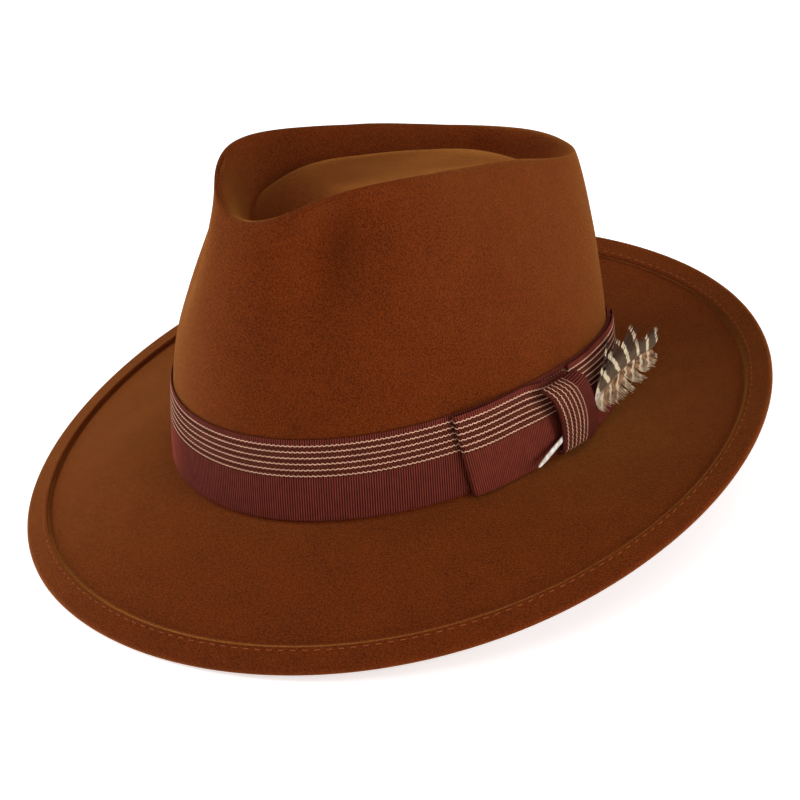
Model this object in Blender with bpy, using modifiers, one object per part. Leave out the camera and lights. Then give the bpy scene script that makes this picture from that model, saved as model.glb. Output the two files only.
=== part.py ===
"""Fedora hat: pinched teardrop crown, snap brim with a sewn-down overwelt, ribbon band,
flat bow with a tucked feather, leather sweatband and a cloth lining.

Frame: -Y is the front of the hat, +X is the wearer's left (the bow side), +Z is up.
The origin is the centre of the head opening, at the height of the brim break.
"""
import math

import bpy
import numpy as np
from mathutils import Matrix, Vector

MM = 0.001

# Head opening and felt
HEAD_HALF_WIDTH = 82.7 * MM      # outside of the felt at the brim break, side to side
HEAD_HALF_LENGTH = 102.7 * MM    # the same, front to back
OVAL_POWER = 2.04                # 2 is an ellipse, more is squarer
BREAK_SADDLE = 2.6 * MM          # the break is this much higher at the sides, lower at both ends
FELT = 2.0 * MM
GAP = 0.3 * MM                   # air between two pieces that touch on the real hat

# Brim
BRIM_WIDTH = 70.9 * MM           # measured along the felt
BRIM_SLOPE = (-3.4, -24.0, 2.2, 1.3)   # degrees: mean, and cosine harmonics of the angle
BRIM_ROLL = 1.3                  # above 1 the brim curves more towards its edge
WELT_WIDTH = 10.6 * MM           # the edge folded up onto the brim
WELT_RISE = 1.8 * MM
WELT_STEP = 0.5 * MM             # plan width of the welt's cut edge
WELT_ROUND = 1.0 * MM
WELT_STITCH_INSET = 2.0 * MM     # from the welt's cut edge

# Crown
CROWN_HEIGHT = 114.0 * MM        # mean height of the crease's rim
CROWN_RISE = (10.0 * MM, -6.2 * MM, -3.7 * MM, -1.1 * MM, -1.0 * MM)   # cosine harmonics
RIM_HALF_WIDTH = 40.2 * MM
RIM_FRONT = 24.7 * MM            # the rim's inset from the break oval at the front
RIM_BACK = 6.8 * MM              # the same at the back
RIM_FULLNESS = (0.27, 0.51, -0.37)   # how the rim's width changes from back to front
WALL_LEAN = 0.80                 # share of the inset that the wall takes, the rest is the shoulder
WALL_CURVE = (1.46, 0.53)
SHOULDER_POWER = 4.2
PINCH_DEPTH = 17.0 * MM
PINCH_ANGLE = 36.0               # degrees from the front
PINCH_SPREAD = 13.6
PINCH_HEIGHT = 0.85              # share of the crown's height
PINCH_TALL = 0.23
CREASE_DEPTH = 14.0 * MM
CREASE_FRONT = 4.0 * MM          # added at the front and taken off at the back
CREASE_PLACE = 0.83              # share of the way from the crown's middle to the rim
CREASE_INNER = 0.42
DOME_DROP = 6.0 * MM             # the middle of the crown below the mean rim
DOME_FALL = 0.11                 # slope of the middle towards the back
DOME_BEND = 1.2                  # 1/m, how fast the middle falls away to both ends

# Ribbon band and bow
RIBBON_WIDTH = 34.5 * MM
RIBBON = 0.8 * MM
RIBBON_LIFT = 0.9 * MM           # lower edge above the brim break
BOW_RIBBON = 0.6 * MM
BOW_CENTRE = 169.0 * MM          # along the band from the front centre
BOW_HALF_LENGTH = 60.6 * MM
BOW_FOLD = 2.6 * MM              # between the two plies at the fold
BOW_WAIST = 0.95 * MM            # between the two plies under the knot
FOLD_LEAN = 7.0 * MM             # the front fold leans forward this much at its top
KNOT_WIDTH = 26.0 * MM
KNOT_BULGE = 1.8 * MM            # the knot's rounded crest
KNOT_CREST = 3.0 * MM            # the crest lies this far behind the knot's middle
KNOT_LEAN = 8.0 * MM             # the knot's top leans this far to the front
KNOT_OVERHANG = 1.2 * MM         # past the loops' upper edges
KNOT_HEEL = 3.0 * MM             # how roundly the knot turns over the loops' edges
KNOT_SQUEEZE = 0.08              # share of the loops' width that the knot takes in
SQUEEZE_REACH = 16.0 * MM        # past the knot the loops need this long to be full again
TACK_AHEAD = 1.2 * MM            # from the front fold to the tack stitch

# Feather
QUILL_RADIUS = 0.85 * MM
QUILL_TAIL = 30.5 * MM           # quill end to the knot's centre
QUILL_SLOPE = 0.28
QUILL_HEIGHT = 13.6 * MM         # above the break, where its line crosses the knot's centre
FEATHER_STRAIGHT = 24.0 * MM     # straight this far past the knot's centre
FEATHER_LENGTH = 60.0 * MM       # from the knot's centre to the feather's tip
FEATHER_BEND = 6.6               # 1/m, how fast the shaft curves down
VANE = 0.5 * MM
VANE_CLEAR = 1.0 * MM            # from the knot's edge
UPPER_VANE_WIDTH = 18.0 * MM
LOWER_VANE_WIDTH = 13.5 * MM

# Inside
SWEATBAND_WIDTH = 38.0 * MM
LEATHER = 1.0 * MM
REED_RADIUS = 1.0 * MM
LINING = 0.4 * MM
LINING_BOTTOM = 8.0 * MM
LINING_DROP = 48.0 * MM          # the tip's seam below the mean rim of the crown
LINING_CROWN = 7.0 * MM
LINING_EASE = 0.5 * MM           # between the felt and the lining behind the sweatband
LINING_SLACK = 1.3 * MM          # the lining stands this much further off at its top
PIPING_RADIUS = 0.7 * MM
THREAD_RADIUS = 0.35 * MM
TAG_WIDTH = 15.0 * MM
TAG_HEIGHT = 22.0 * MM
TRIM_BOW_HALF = 11.0 * MM
TRIM_BOW_TALL = 4.0 * MM
TRIM_BOW_CLEAR = 2.2 * MM        # the flat bow stands this far off the curved leather

LINING_TOP = CROWN_HEIGHT - LINING_DROP

# Mesh density
AROUND = 56
ANGLES = np.linspace(0.0, 2.0 * math.pi, AROUND, endpoint=False)


# ---------------------------------------------------------------- surfaces of the hat

def oval(angle, half_width, half_length):
    """Plan point of the head oval; angle 0 is the front, 90 degrees is the wearer's left."""
    s, c = np.sin(angle), np.cos(angle)
    power = 2.0 / OVAL_POWER
    x = half_width * np.sign(s) * np.abs(s) ** power
    y = -half_length * np.sign(c) * np.abs(c) ** power
    return np.stack([x, y], axis=-1)


def oval_normal(angle):
    """Outward plan direction across the oval."""
    normal = np.stack([np.sin(angle) / HEAD_HALF_WIDTH, -np.cos(angle) / HEAD_HALF_LENGTH], axis=-1)
    return normal / np.linalg.norm(normal, axis=-1, keepdims=True)


def break_height(angle):
    return -BREAK_SADDLE * np.cos(2.0 * angle)


def harmonics(angle, factors):
    return sum(f * np.cos((n + 1) * angle) for n, f in enumerate(factors))


def rim(angle):
    """The highest line of the crown, round the crease."""
    c = np.cos(angle)
    front = -(HEAD_HALF_LENGTH - RIM_FRONT)
    back = HEAD_HALF_LENGTH - RIM_BACK
    fullness = 1.0 + sum(f * c ** (n + 1) for n, f in enumerate(RIM_FULLNESS))
    x = RIM_HALF_WIDTH * np.sin(angle) * fullness
    y = (front + back) / 2.0 - (back - front) / 2.0 * c
    return np.stack([x, y, CROWN_HEIGHT + harmonics(angle, CROWN_RISE)], axis=-1)


def wall(angle, share):
    """Outside of the crown wall at a share of its height: 0 at the break, 1 at the rim."""
    base = oval(angle, HEAD_HALF_WIDTH, HEAD_HALF_LENGTH)
    top = rim(angle)
    curve = WALL_CURVE[0] + WALL_CURVE[1] * np.cos(angle) ** 2
    lean = WALL_LEAN * share ** curve
    shoulder = (1.0 - WALL_LEAN) * (1.0 - np.sqrt(np.maximum(1.0 - share ** SHOULDER_POWER, 0.0)))
    plan = base + (top[..., :2] - base) * (lean + shoulder)[..., None]
    off_front = np.abs(np.degrees(np.arctan2(np.sin(angle), np.cos(angle))))
    pinch = PINCH_DEPTH * np.exp(-((off_front - PINCH_ANGLE) / PINCH_SPREAD) ** 2)
    pinch = pinch * np.exp(-((share - PINCH_HEIGHT) / PINCH_TALL) ** 2) * (1.0 - share ** 12)
    plan = plan - oval_normal(angle) * pinch[..., None]
    height = break_height(angle) + (top[..., 2] - break_height(angle)) * share
    return np.concatenate([plan, height[..., None]], axis=-1)


def wall_at(angle, height, inset=0.0):
    """Crown wall at a height above the brim break, then moved in, square to the felt."""
    angle = np.asarray(angle, float)
    share = height / (rim(angle)[..., 2] - break_height(angle))
    here = wall(angle, share)
    small = 0.001
    round_the_hat = wall(angle + small, share) - wall(angle - small, share)
    up_the_wall = wall(angle, share + small) - here
    outward = np.cross(round_the_hat, up_the_wall)
    outward = outward / np.linalg.norm(outward, axis=-1, keepdims=True)
    return here - outward * inset


def dome_height(back):
    """Height of the crown's middle ridge, a distance back from its centre."""
    return CROWN_HEIGHT - DOME_DROP - DOME_FALL * back - DOME_BEND * back * back


def crown_top(angle, out):
    """The creased top: out is 1 at the rim and 0 in the middle."""
    edge = rim(angle)
    middle = np.array([0.0, (RIM_BACK * -1.0 + RIM_FRONT) / 2.0])
    plan = middle + (edge[..., :2] - middle) * out
    centre = dome_height(plan[..., 1] - middle[1])
    height = centre + (edge[..., 2] - dome_height(edge[..., 1] - middle[1])) * out ** 2
    depth = CREASE_DEPTH + CREASE_FRONT * np.cos(angle)
    if out > CREASE_PLACE:
        t = (1.0 - out) / (1.0 - CREASE_PLACE)
        fall = t * t * (0.67 + 2.66 * t - 2.33 * t * t)
    else:
        t = min((CREASE_PLACE - out) / (CREASE_PLACE - CREASE_INNER), 1.0)
        fall = (1.0 - t) ** 2
    height = height - depth * fall
    return np.concatenate([plan, height[..., None]], axis=-1)


def brim(angle, share, lift=0.0):
    """Top of the brim: share is 0 at the break and 1 at the edge; lift is square to the brim."""
    slope = np.radians(BRIM_SLOPE[0] + harmonics(angle, BRIM_SLOPE[1:]))
    base = oval(angle, HEAD_HALF_WIDTH, HEAD_HALF_LENGTH)
    reach = BRIM_WIDTH * share * np.cos(slope) - lift * np.sin(slope)
    height = break_height(angle) + BRIM_WIDTH * np.sin(slope) * share ** BRIM_ROLL
    height = height + lift * np.cos(slope)
    plan = base + oval_normal(angle) * reach[..., None]
    return np.concatenate([plan, height[..., None]], axis=-1)


def band_angle(distance):
    """Angle of the point that lies this far along the band from the front centre."""
    fine = np.linspace(0.0, math.pi, 721)
    plan = oval(fine, HEAD_HALF_WIDTH, HEAD_HALF_LENGTH)
    along = np.concatenate([[0.0], np.cumsum(np.linalg.norm(np.diff(plan, axis=0), axis=1))])
    return np.interp(distance, along, fine)


# ---------------------------------------------------------------- building helpers

def clear_scene():
    for thing in list(bpy.data.objects):
        bpy.data.objects.remove(thing, do_unlink=True)


def new_collection(name):
    group = bpy.data.collections.new(name)
    bpy.context.scene.collection.children.link(group)
    return group


def finish_material(name, colour, roughness, metallic=0.0):
    material = bpy.data.materials.new(name)
    material.use_nodes = True
    shader = material.node_tree.nodes["Principled BSDF"]
    shader.inputs["Base Color"].default_value = (*colour, 1.0)
    shader.inputs["Roughness"].default_value = roughness
    shader.inputs["Metallic"].default_value = metallic
    return material


def add_object(name, data, material):
    piece = bpy.data.objects.new(name, data)
    data.materials.append(material)
    HAT.objects.link(piece)
    return piece


def loft(name, rings, material, round_trip=True, apex=None):
    """A sheet through rings of points, each with the same count; round_trip closes each ring."""
    count = len(rings[0])
    points = [tuple(p) for ring in rings for p in ring]
    faces = []
    for row in range(len(rings) - 1):
        for k in range(count if round_trip else count - 1):
            nxt = (k + 1) % count
            a, b = row * count + k, row * count + nxt
            faces.append((a, b, b + count, a + count))
    if apex is not None:
        points.append(tuple(apex))
        last = (len(rings) - 1) * count
        faces += [(last + k, last + (k + 1) % count, len(points) - 1) for k in range(count)]
    mesh = bpy.data.meshes.new(name)
    mesh.from_pydata(points, [], faces)
    mesh.shade_smooth()
    return add_object(name, mesh, material)


def thicken(piece, thickness, side=-1.0):
    """Solidify to one side: -1 is against the sheet's normals, 1 is along them."""
    solid = piece.modifiers.new("thickness", 'SOLIDIFY')
    solid.thickness = thickness
    solid.offset = side
    solid.use_even_offset = True
    return solid


def tube(name, points, radius, material, cyclic=False, sides=2):
    """A round thread or rod along points."""
    curve = bpy.data.curves.new(name, 'CURVE')
    curve.dimensions = '3D'
    curve.bevel_depth = radius
    curve.bevel_resolution = sides
    curve.use_fill_caps = not cyclic
    spline = curve.splines.new('POLY')
    spline.points.add(len(points) - 1)
    for spot, place in zip(spline.points, points):
        spot.co = (*place, 1.0)
    spline.use_cyclic_u = cyclic
    return add_object(name, curve, material)


def flat_plate(name, outline, thickness, material, place):
    """A flat outline with a thickness, put in the world by a matrix."""
    curve = bpy.data.curves.new(name, 'CURVE')
    curve.dimensions = '2D'
    curve.fill_mode = 'BOTH'
    curve.extrude = thickness / 2.0
    spline = curve.splines.new('POLY')
    spline.points.add(len(outline) - 1)
    for spot, (x, y) in zip(spline.points, outline):
        spot.co = (x, y, 0.0, 1.0)
    spline.use_cyclic_u = True
    piece = add_object(name, curve, material)
    piece.matrix_world = place
    return piece


# ---------------------------------------------------------------- felt

def make_felt_body():
    """Crown, brim and overwelt: one piece of blocked felt, the edge folded up and sewn."""
    felt = finish_material("felt_body", (0.30, 0.105, 0.03), 0.95)
    welt_in = 1.0 - WELT_WIDTH / BRIM_WIDTH
    step = WELT_STEP / BRIM_WIDTH
    soft = WELT_ROUND / BRIM_WIDTH
    rings = [brim(ANGLES, 1.0, WELT_RISE - WELT_ROUND), brim(ANGLES, 1.0 - soft, WELT_RISE),
             brim(ANGLES, 1.0 - 0.45 * WELT_WIDTH / BRIM_WIDTH, WELT_RISE),
             brim(ANGLES, welt_in + step, WELT_RISE)]
    doubled = len(rings)
    rings += [brim(ANGLES, share) for share in (welt_in, 0.68, 0.50, 0.33, 0.17, 0.06)]
    rings += [wall(ANGLES, share)
              for share in (0.0, 0.14, 0.28, 0.42, 0.55, 0.67, 0.78, 0.87, 0.94, 0.98)]
    rings += [crown_top(ANGLES, out)
              for out in (1.0, 0.95, 0.90, 0.85, 0.80, 0.74, 0.66, 0.56, 0.46, 0.34, 0.18)]
    apex = crown_top(np.array([0.0]), 0.0)[0]
    body = loft("felt_body", rings, felt, apex=apex)
    fold = body.vertex_groups.new(name="folded_double")
    fold.add(list(range(doubled * AROUND)), 1.0, 'REPLACE')
    solid = thicken(body, FELT + WELT_RISE)
    solid.vertex_group = fold.name
    solid.thickness_vertex_group = FELT / (FELT + WELT_RISE)


def make_welt_stitching():
    """The line of thread that holds the fold down."""
    thread = finish_material("welt_stitching", (0.50, 0.23, 0.09), 0.8)
    share = 1.0 - (WELT_WIDTH - WELT_STITCH_INSET) / BRIM_WIDTH
    line = brim(ANGLES, share, WELT_RISE + GAP + THREAD_RADIUS)
    tube("welt_stitching", line, THREAD_RADIUS, thread, cyclic=True, sides=0)


# ---------------------------------------------------------------- band and bow

def make_hat_band():
    """Grosgrain ribbon round the foot of the crown."""
    ribbon = finish_material("hat_band", (0.095, 0.022, 0.022), 0.6)
    heights = RIBBON_LIFT + RIBBON_WIDTH * np.linspace(0.0, 1.0, 5)
    rings = [wall_at(ANGLES, height, -GAP) for height in heights]
    band = loft("hat_band", rings, ribbon)
    thicken(band, RIBBON, 1.0)


def bow_point(distance, height, out):
    """A point on the bow: along the band, above the break, and out from the felt."""
    return wall_at(band_angle(np.atleast_1d(distance)), height, -out)[0]


def loop_path(lean):
    """Path of a flattened ribbon loop from the knot to its fold and back: (along, out)."""
    under = GAP + RIBBON + GAP + BOW_RIBBON / 2.0
    start = GAP + BOW_RIBBON
    flat = BOW_HALF_LENGTH - BOW_FOLD / 2.0 + lean
    swell_from = QUILL_TAIL + GAP
    path = [(start + (flat - start) * t, under) for t in np.linspace(0.0, 0.96, 9)]
    for turn in np.linspace(0.0, math.pi, 7):
        path.append((flat + BOW_FOLD / 2.0 * math.sin(turn),
                     under + BOW_FOLD / 2.0 * (1.0 - math.cos(turn))))
    for t in np.linspace(0.96, 0.0, 12):
        along = start + (flat - start) * t
        swell = min(1.0, max(0.0, (along - swell_from) / (0.8 * (flat - swell_from))))
        swell = swell * swell * (3.0 - 2.0 * swell)
        path.append((along, under + BOW_WAIST + (BOW_FOLD - BOW_WAIST) * swell))
    return path


def squeezed(along):
    """Share of the ribbon's width that a loop keeps at a distance from the knot's middle."""
    t = min(1.0, max(0.0, (along - KNOT_WIDTH / 2.0) / SQUEEZE_REACH))
    return 1.0 - KNOT_SQUEEZE * (1.0 - t * t * (3.0 - 2.0 * t))


def make_bow_loop(name, side):
    ribbon = finish_material(name, (0.095, 0.022, 0.022), 0.6)
    rings = []
    for share in np.linspace(0.0, 1.0, 4):
        rings.append([bow_point(BOW_CENTRE + side * along,
                                RIBBON_LIFT + RIBBON_WIDTH * share * squeezed(along), out)
                      for along, out in loop_path(FOLD_LEAN * (share - 0.5))])
    loop = loft(name, rings, ribbon, round_trip=False)
    thicken(loop, BOW_RIBBON, 0.0)


def foot_point(distance, height, out):
    """Straight above the band's foot: height from the break, out from the felt at the foot."""
    point = bow_point(distance, RIBBON_LIFT, out)
    rise = float(break_height(band_angle(distance)))
    return np.array([point[0], point[1], rise + height])


def quill_out():
    """The quill's centre, out from the felt: it lies on the front loop."""
    return GAP + RIBBON + GAP + BOW_RIBBON + BOW_WAIST + GAP + QUILL_RADIUS


def knot_inner():
    """The knot's inner face, out from the felt, clear of the straight quill under it."""
    middle = foot_point(BOW_CENTRE, 0.0, 0.0)
    ahead = foot_point(BOW_CENTRE + MM, 0.0, 0.0) - middle
    side = foot_point(BOW_CENTRE + KNOT_WIDTH / 2.0, 0.0, 0.0) - middle
    sagitta = abs(float(np.cross(side, ahead)[2])) / float(np.linalg.norm(ahead))
    return quill_out() + QUILL_RADIUS + GAP + sagitta


def make_bow_knot():
    """A folded strip of the ribbon drawn round the middle of the bow, over the quill."""
    ribbon = finish_material("bow_knot", (0.095, 0.022, 0.022), 0.6)
    inner = knot_inner() + BOW_RIBBON / 2.0
    tall = RIBBON_WIDTH * squeezed(0.0)
    low, high = RIBBON_LIFT, RIBBON_LIFT + tall
    loops_out = quill_out() - QUILL_RADIUS + BOW_RIBBON / 2.0
    heel = KNOT_HEEL
    profile = [(low, loops_out, 0.0), (low + 0.3 * heel, inner - 0.4 * MM, 0.4), (low + heel, inner, 0.9)]
    profile += [(low + heel + (tall - 2.0 * heel) * t, inner, 1.0) for t in (0.25, 0.5, 0.75)]
    profile += [(high - heel, inner - 0.2 * MM, 0.8), (high + KNOT_OVERHANG * 0.4, inner - 1.6 * MM, 0.3),
                (high + KNOT_OVERHANG, loops_out, 0.0),
                (high + KNOT_OVERHANG, GAP + RIBBON + GAP + BOW_RIBBON / 2.0, 0.0)]
    rings = []
    for height, out, full in profile:
        rise = max(0.0, (height - low) / tall - 0.4)
        lean = KNOT_LEAN * rise * rise / 0.36
        ring = []
        for share in np.linspace(-0.5, 0.5, 9):
            reach = (share * KNOT_WIDTH - KNOT_CREST) / (KNOT_WIDTH / 2.0)
            bulge = KNOT_BULGE * full * max(0.0, 1.0 - reach * reach)
            ring.append(foot_point(BOW_CENTRE + share * KNOT_WIDTH - lean, height, out + bulge))
        rings.append(ring)
    knot = loft("bow_knot", rings, ribbon, round_trip=False)
    thicken(knot, BOW_RIBBON, 0.0)


def make_bow_tack():
    """Small stitch that holds the front loop's corner to the band."""
    thread = finish_material("bow_tack_stitch", (0.06, 0.015, 0.015), 0.7)
    fold_end = BOW_CENTRE - BOW_HALF_LENGTH - FOLD_LEAN - BOW_RIBBON - TACK_AHEAD
    out = GAP + RIBBON + GAP + THREAD_RADIUS
    places = [bow_point(fold_end, RIBBON_LIFT + height, out) for height in (5.0 * MM, 7.5 * MM)]
    tube("bow_tack_stitch", places, THREAD_RADIUS, thread)


# ---------------------------------------------------------------- feather

def feather_place():
    """Matrix of the feather's flat plane: X along the band, Y up, Z out from the crown."""
    here = foot_point(BOW_CENTRE, 0.0, quill_out())
    ahead = foot_point(BOW_CENTRE + MM, 0.0, quill_out())
    along = Vector((ahead[0] - here[0], ahead[1] - here[1], 0.0)).normalized()
    above = Vector((0.0, 0.0, 1.0))
    outward = along.cross(above)
    place = Matrix((along, above, outward)).transposed().to_4x4()
    place.translation = here
    return place


def shaft_height(along):
    bend = max(0.0, along - FEATHER_STRAIGHT)
    return QUILL_HEIGHT + QUILL_SLOPE * along - FEATHER_BEND * bend * bend


def make_feather():
    """Quill and two vanes; all three slide out of the knot together."""
    place = feather_place()
    slide = bpy.data.objects.new("feather_slide", None)
    slide.matrix_world = place
    HAT.objects.link(slide)
    quill = finish_material("feather_shaft", (0.85, 0.83, 0.78), 0.4)
    stations = np.linspace(-QUILL_TAIL, FEATHER_LENGTH - 3.0 * MM, 16)
    line = [place @ Vector((s, shaft_height(s), 0.0)) for s in stations]
    shaft = tube("feather_shaft", line, QUILL_RADIUS, quill)
    for spot, s in zip(shaft.data.splines[0].points, stations):
        spot.radius = 1.0 - 0.6 * max(0.0, s) / FEATHER_LENGTH
    upper = make_vane("feather_vane_upper", 1.0, UPPER_VANE_WIDTH, (0.22, 0.16, 0.12), place)
    lower = make_vane("feather_vane_lower", -1.0, LOWER_VANE_WIDTH, (0.42, 0.30, 0.19), place)
    for piece in (shaft, upper, lower):
        piece.parent = slide
        piece.matrix_parent_inverse = place.inverted()


def make_vane(name, side, width, colour, place):
    """One flat web of barbs, widest in its middle, beside the shaft."""
    barbs = finish_material(name, colour, 0.8)
    clear = QUILL_RADIUS + GAP
    start = KNOT_WIDTH / 2.0 + VANE_CLEAR
    stations = np.linspace(start, FEATHER_LENGTH, 9)
    inner = [(s, shaft_height(s) + side * clear) for s in stations]
    outer = []
    for s in stations[::-1]:
        t = (s - start) / (FEATHER_LENGTH - start)
        reach = width * (0.45 + 0.55 * math.sin(math.pi * min(1.0, t * 0.75 + 0.12)))
        lean = 0.30 * width * t
        outer.append((s + lean, shaft_height(s) + side * (clear + reach)))
    return flat_plate(name, inner + outer, VANE, barbs, place)


# ---------------------------------------------------------------- inside of the hat

def lining_inset(height):
    """Where the lining's outer face lies, in from the outside of the felt."""
    above_leather = max(0.0, height - SWEATBAND_WIDTH) / (LINING_TOP - SWEATBAND_WIDTH)
    return FELT + LINING_EASE + LINING_SLACK * math.sqrt(above_leather)


def make_lining():
    """Side strip, domed tip and the piping on their seam."""
    cloth = finish_material("lining_side", (0.10, 0.03, 0.03), 0.35)
    heights = np.concatenate([np.linspace(LINING_BOTTOM, SWEATBAND_WIDTH, 4),
                              np.linspace(SWEATBAND_WIDTH + 6.0 * MM, LINING_TOP, 4)])
    side = loft("lining_side", [wall_at(ANGLES, h, lining_inset(h)) for h in heights], cloth)
    thicken(side, LINING)
    tip_cloth = finish_material("lining_tip", (0.10, 0.03, 0.03), 0.35)
    inset = lining_inset(LINING_TOP)
    edge = wall_at(ANGLES, LINING_TOP + LINING + GAP, inset)
    rings = []
    for out in (1.0, 0.9, 0.7, 0.45, 0.2):
        ring = edge * np.array([out, out, 1.0])
        ring[:, 2] += LINING_CROWN * (1.0 - out * out)
        rings.append(ring)
    peak = (0.0, 0.0, float(edge[:, 2].mean()) + LINING_CROWN)
    tip = loft("lining_tip", rings, tip_cloth, apex=peak)
    thicken(tip, LINING)
    cord = finish_material("lining_piping", (0.45, 0.30, 0.08), 0.5)
    line = wall_at(ANGLES, LINING_TOP - PIPING_RADIUS, inset + LINING + GAP + PIPING_RADIUS)
    tube("lining_piping", line, PIPING_RADIUS, cord, cyclic=True, sides=0)


def sweatband_inset():
    return FELT + LINING_EASE + LINING + GAP


def make_sweatband():
    """Leather band that touches the head, with a reed along its sewn edge."""
    leather = finish_material("sweatband", (0.10, 0.045, 0.022), 0.5)
    heights = np.linspace(0.0, SWEATBAND_WIDTH, 5)
    band = loft("sweatband", [wall_at(ANGLES, h, sweatband_inset()) for h in heights], leather)
    thicken(band, LEATHER)
    reed = finish_material("sweatband_reed", (0.09, 0.04, 0.02), 0.5)
    line = wall_at(ANGLES, 0.0, sweatband_inset() + REED_RADIUS)
    line[:, 2] -= REED_RADIUS + GAP
    tube("sweatband_reed", line, REED_RADIUS, reed, cyclic=True, sides=1)
    thread = finish_material("sweatband_stitching", (0.30, 0.18, 0.09), 0.8)
    seam = wall_at(ANGLES, 3.0 * MM, sweatband_inset() + LEATHER + GAP + THREAD_RADIUS)
    tube("sweatband_stitching", seam, THREAD_RADIUS, thread, cyclic=True, sides=0)


def make_trim_bow():
    """Tiny flat ribbon bow over the sweatband's back seam."""
    ribbon = finish_material("sweatband_bow", (0.095, 0.022, 0.022), 0.6)
    half, tall = TRIM_BOW_HALF, TRIM_BOW_TALL
    outline = [(-half, -tall), (-half * 0.2, -tall * 0.45), (half * 0.2, -tall * 0.45), (half, -tall),
               (half, tall), (half * 0.2, tall * 0.45), (-half * 0.2, tall * 0.45), (-half, tall)]
    seat = wall_at(np.array([math.pi]), 12.0 * MM, sweatband_inset() + LEATHER)[0]
    place = Matrix(((1, 0, 0, 0), (0, 0, 1, seat[1] - TRIM_BOW_CLEAR), (0, 1, 0, seat[2]), (0, 0, 0, 1)))
    flat_plate("sweatband_bow", outline, BOW_RIBBON, ribbon, place)


def make_size_tag():
    """Blank cloth tag that hangs over the sweatband beside the back seam."""
    cloth = finish_material("size_tag", (0.72, 0.70, 0.64), 0.7)
    near = math.pi - 0.42
    spread = TAG_WIDTH / (HEAD_HALF_LENGTH - FELT)
    angles = np.linspace(near - spread, near, 6)
    inset = sweatband_inset() + LEATHER + GAP
    heights = SWEATBAND_WIDTH - TAG_HEIGHT + TAG_HEIGHT * np.linspace(0.0, 0.95, 3)
    tag = loft("size_tag", [wall_at(angles, h, inset) for h in heights], cloth, round_trip=False)
    thicken(tag, LINING)


clear_scene()
HAT = new_collection("fedora_hat")
make_felt_body()
make_welt_stitching()
make_hat_band()
make_bow_loop("bow_front_loop", -1.0)
make_bow_loop("bow_rear_loop", 1.0)
make_bow_knot()
make_bow_tack()
make_feather()
make_lining()
make_sweatband()
make_trim_bow()
make_size_tag()
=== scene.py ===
# %% [markdown]
# # A felt fedora with a striped ribbon and a tucked feather
#
# A fedora is one piece of fur felt, steamed and pulled over a block, so its crown and brim have
# no seam. Everything else is sewn or tucked on: the ribbon, its bow, the feather and the
# linings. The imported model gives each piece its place, and this script makes the fine surfaces.

import math

import bmesh
import bpy
import numpy as np
from mathutils import Matrix, Vector, noise


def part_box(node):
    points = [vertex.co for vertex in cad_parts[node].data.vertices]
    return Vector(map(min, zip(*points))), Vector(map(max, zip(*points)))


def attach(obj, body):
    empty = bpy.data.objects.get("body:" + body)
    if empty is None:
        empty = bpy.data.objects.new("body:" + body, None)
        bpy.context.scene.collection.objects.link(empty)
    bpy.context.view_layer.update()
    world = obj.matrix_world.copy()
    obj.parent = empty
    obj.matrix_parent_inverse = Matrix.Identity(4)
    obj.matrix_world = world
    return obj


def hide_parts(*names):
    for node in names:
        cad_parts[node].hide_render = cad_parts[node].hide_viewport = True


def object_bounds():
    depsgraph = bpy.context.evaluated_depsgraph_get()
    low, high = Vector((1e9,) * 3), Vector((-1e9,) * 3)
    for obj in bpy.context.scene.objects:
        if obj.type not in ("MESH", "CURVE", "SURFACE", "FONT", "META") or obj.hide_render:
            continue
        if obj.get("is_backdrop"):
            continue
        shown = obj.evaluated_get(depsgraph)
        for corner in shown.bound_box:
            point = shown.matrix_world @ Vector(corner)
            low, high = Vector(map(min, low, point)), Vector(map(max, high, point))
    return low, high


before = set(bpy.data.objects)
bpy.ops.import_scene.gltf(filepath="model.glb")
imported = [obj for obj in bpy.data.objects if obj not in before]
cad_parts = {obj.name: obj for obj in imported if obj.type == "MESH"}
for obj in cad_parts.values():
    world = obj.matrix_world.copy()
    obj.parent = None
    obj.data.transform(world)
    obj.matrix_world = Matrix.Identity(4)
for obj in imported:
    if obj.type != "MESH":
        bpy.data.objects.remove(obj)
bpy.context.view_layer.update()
MM = 0.001
print("pieces in the frame:", len(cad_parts))

# %% [markdown]
# ## Camera
#
# The hat is seen from its front left, a little above the brim. A long lens keeps the brim's
# oval true. The camera is set by its azimuth from the front, its height angle and a small
# roll, because those three say more than a matrix would.

# %% Camera
AZIMUTH = math.radians(47.45)
ELEVATION = math.radians(26.58)
ROLL = math.radians(-2.63)
DISTANCE = 850.0 * MM
LENS = 87.975                    # with a 36 mm sensor
SHIFT = (0.0039, 0.0139)


def look_from(azimuth, elevation, roll):
    """Rotation of a camera that looks at the origin from this direction."""
    back = Vector((math.sin(azimuth) * math.cos(elevation),
                   -math.cos(azimuth) * math.cos(elevation), math.sin(elevation)))
    right = Vector((math.cos(azimuth), math.sin(azimuth), 0.0))
    up = back.cross(right)
    rolled_right = math.cos(roll) * right + math.sin(roll) * up
    rolled_up = -math.sin(roll) * right + math.cos(roll) * up
    return Matrix((rolled_right, rolled_up, back)).transposed(), back


turn, toward_camera = look_from(AZIMUTH, ELEVATION, ROLL)
lens = bpy.data.cameras.new("camera")
lens.lens = LENS
lens.sensor_width = 36.0
lens.shift_x, lens.shift_y = SHIFT
camera = bpy.data.objects.new("camera", lens)
camera.matrix_world = Matrix.Translation(toward_camera * DISTANCE) @ turn.to_4x4()
bpy.context.scene.collection.objects.link(camera)
bpy.context.scene.camera = camera
print("camera at", [round(x, 3) for x in camera.location])

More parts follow.
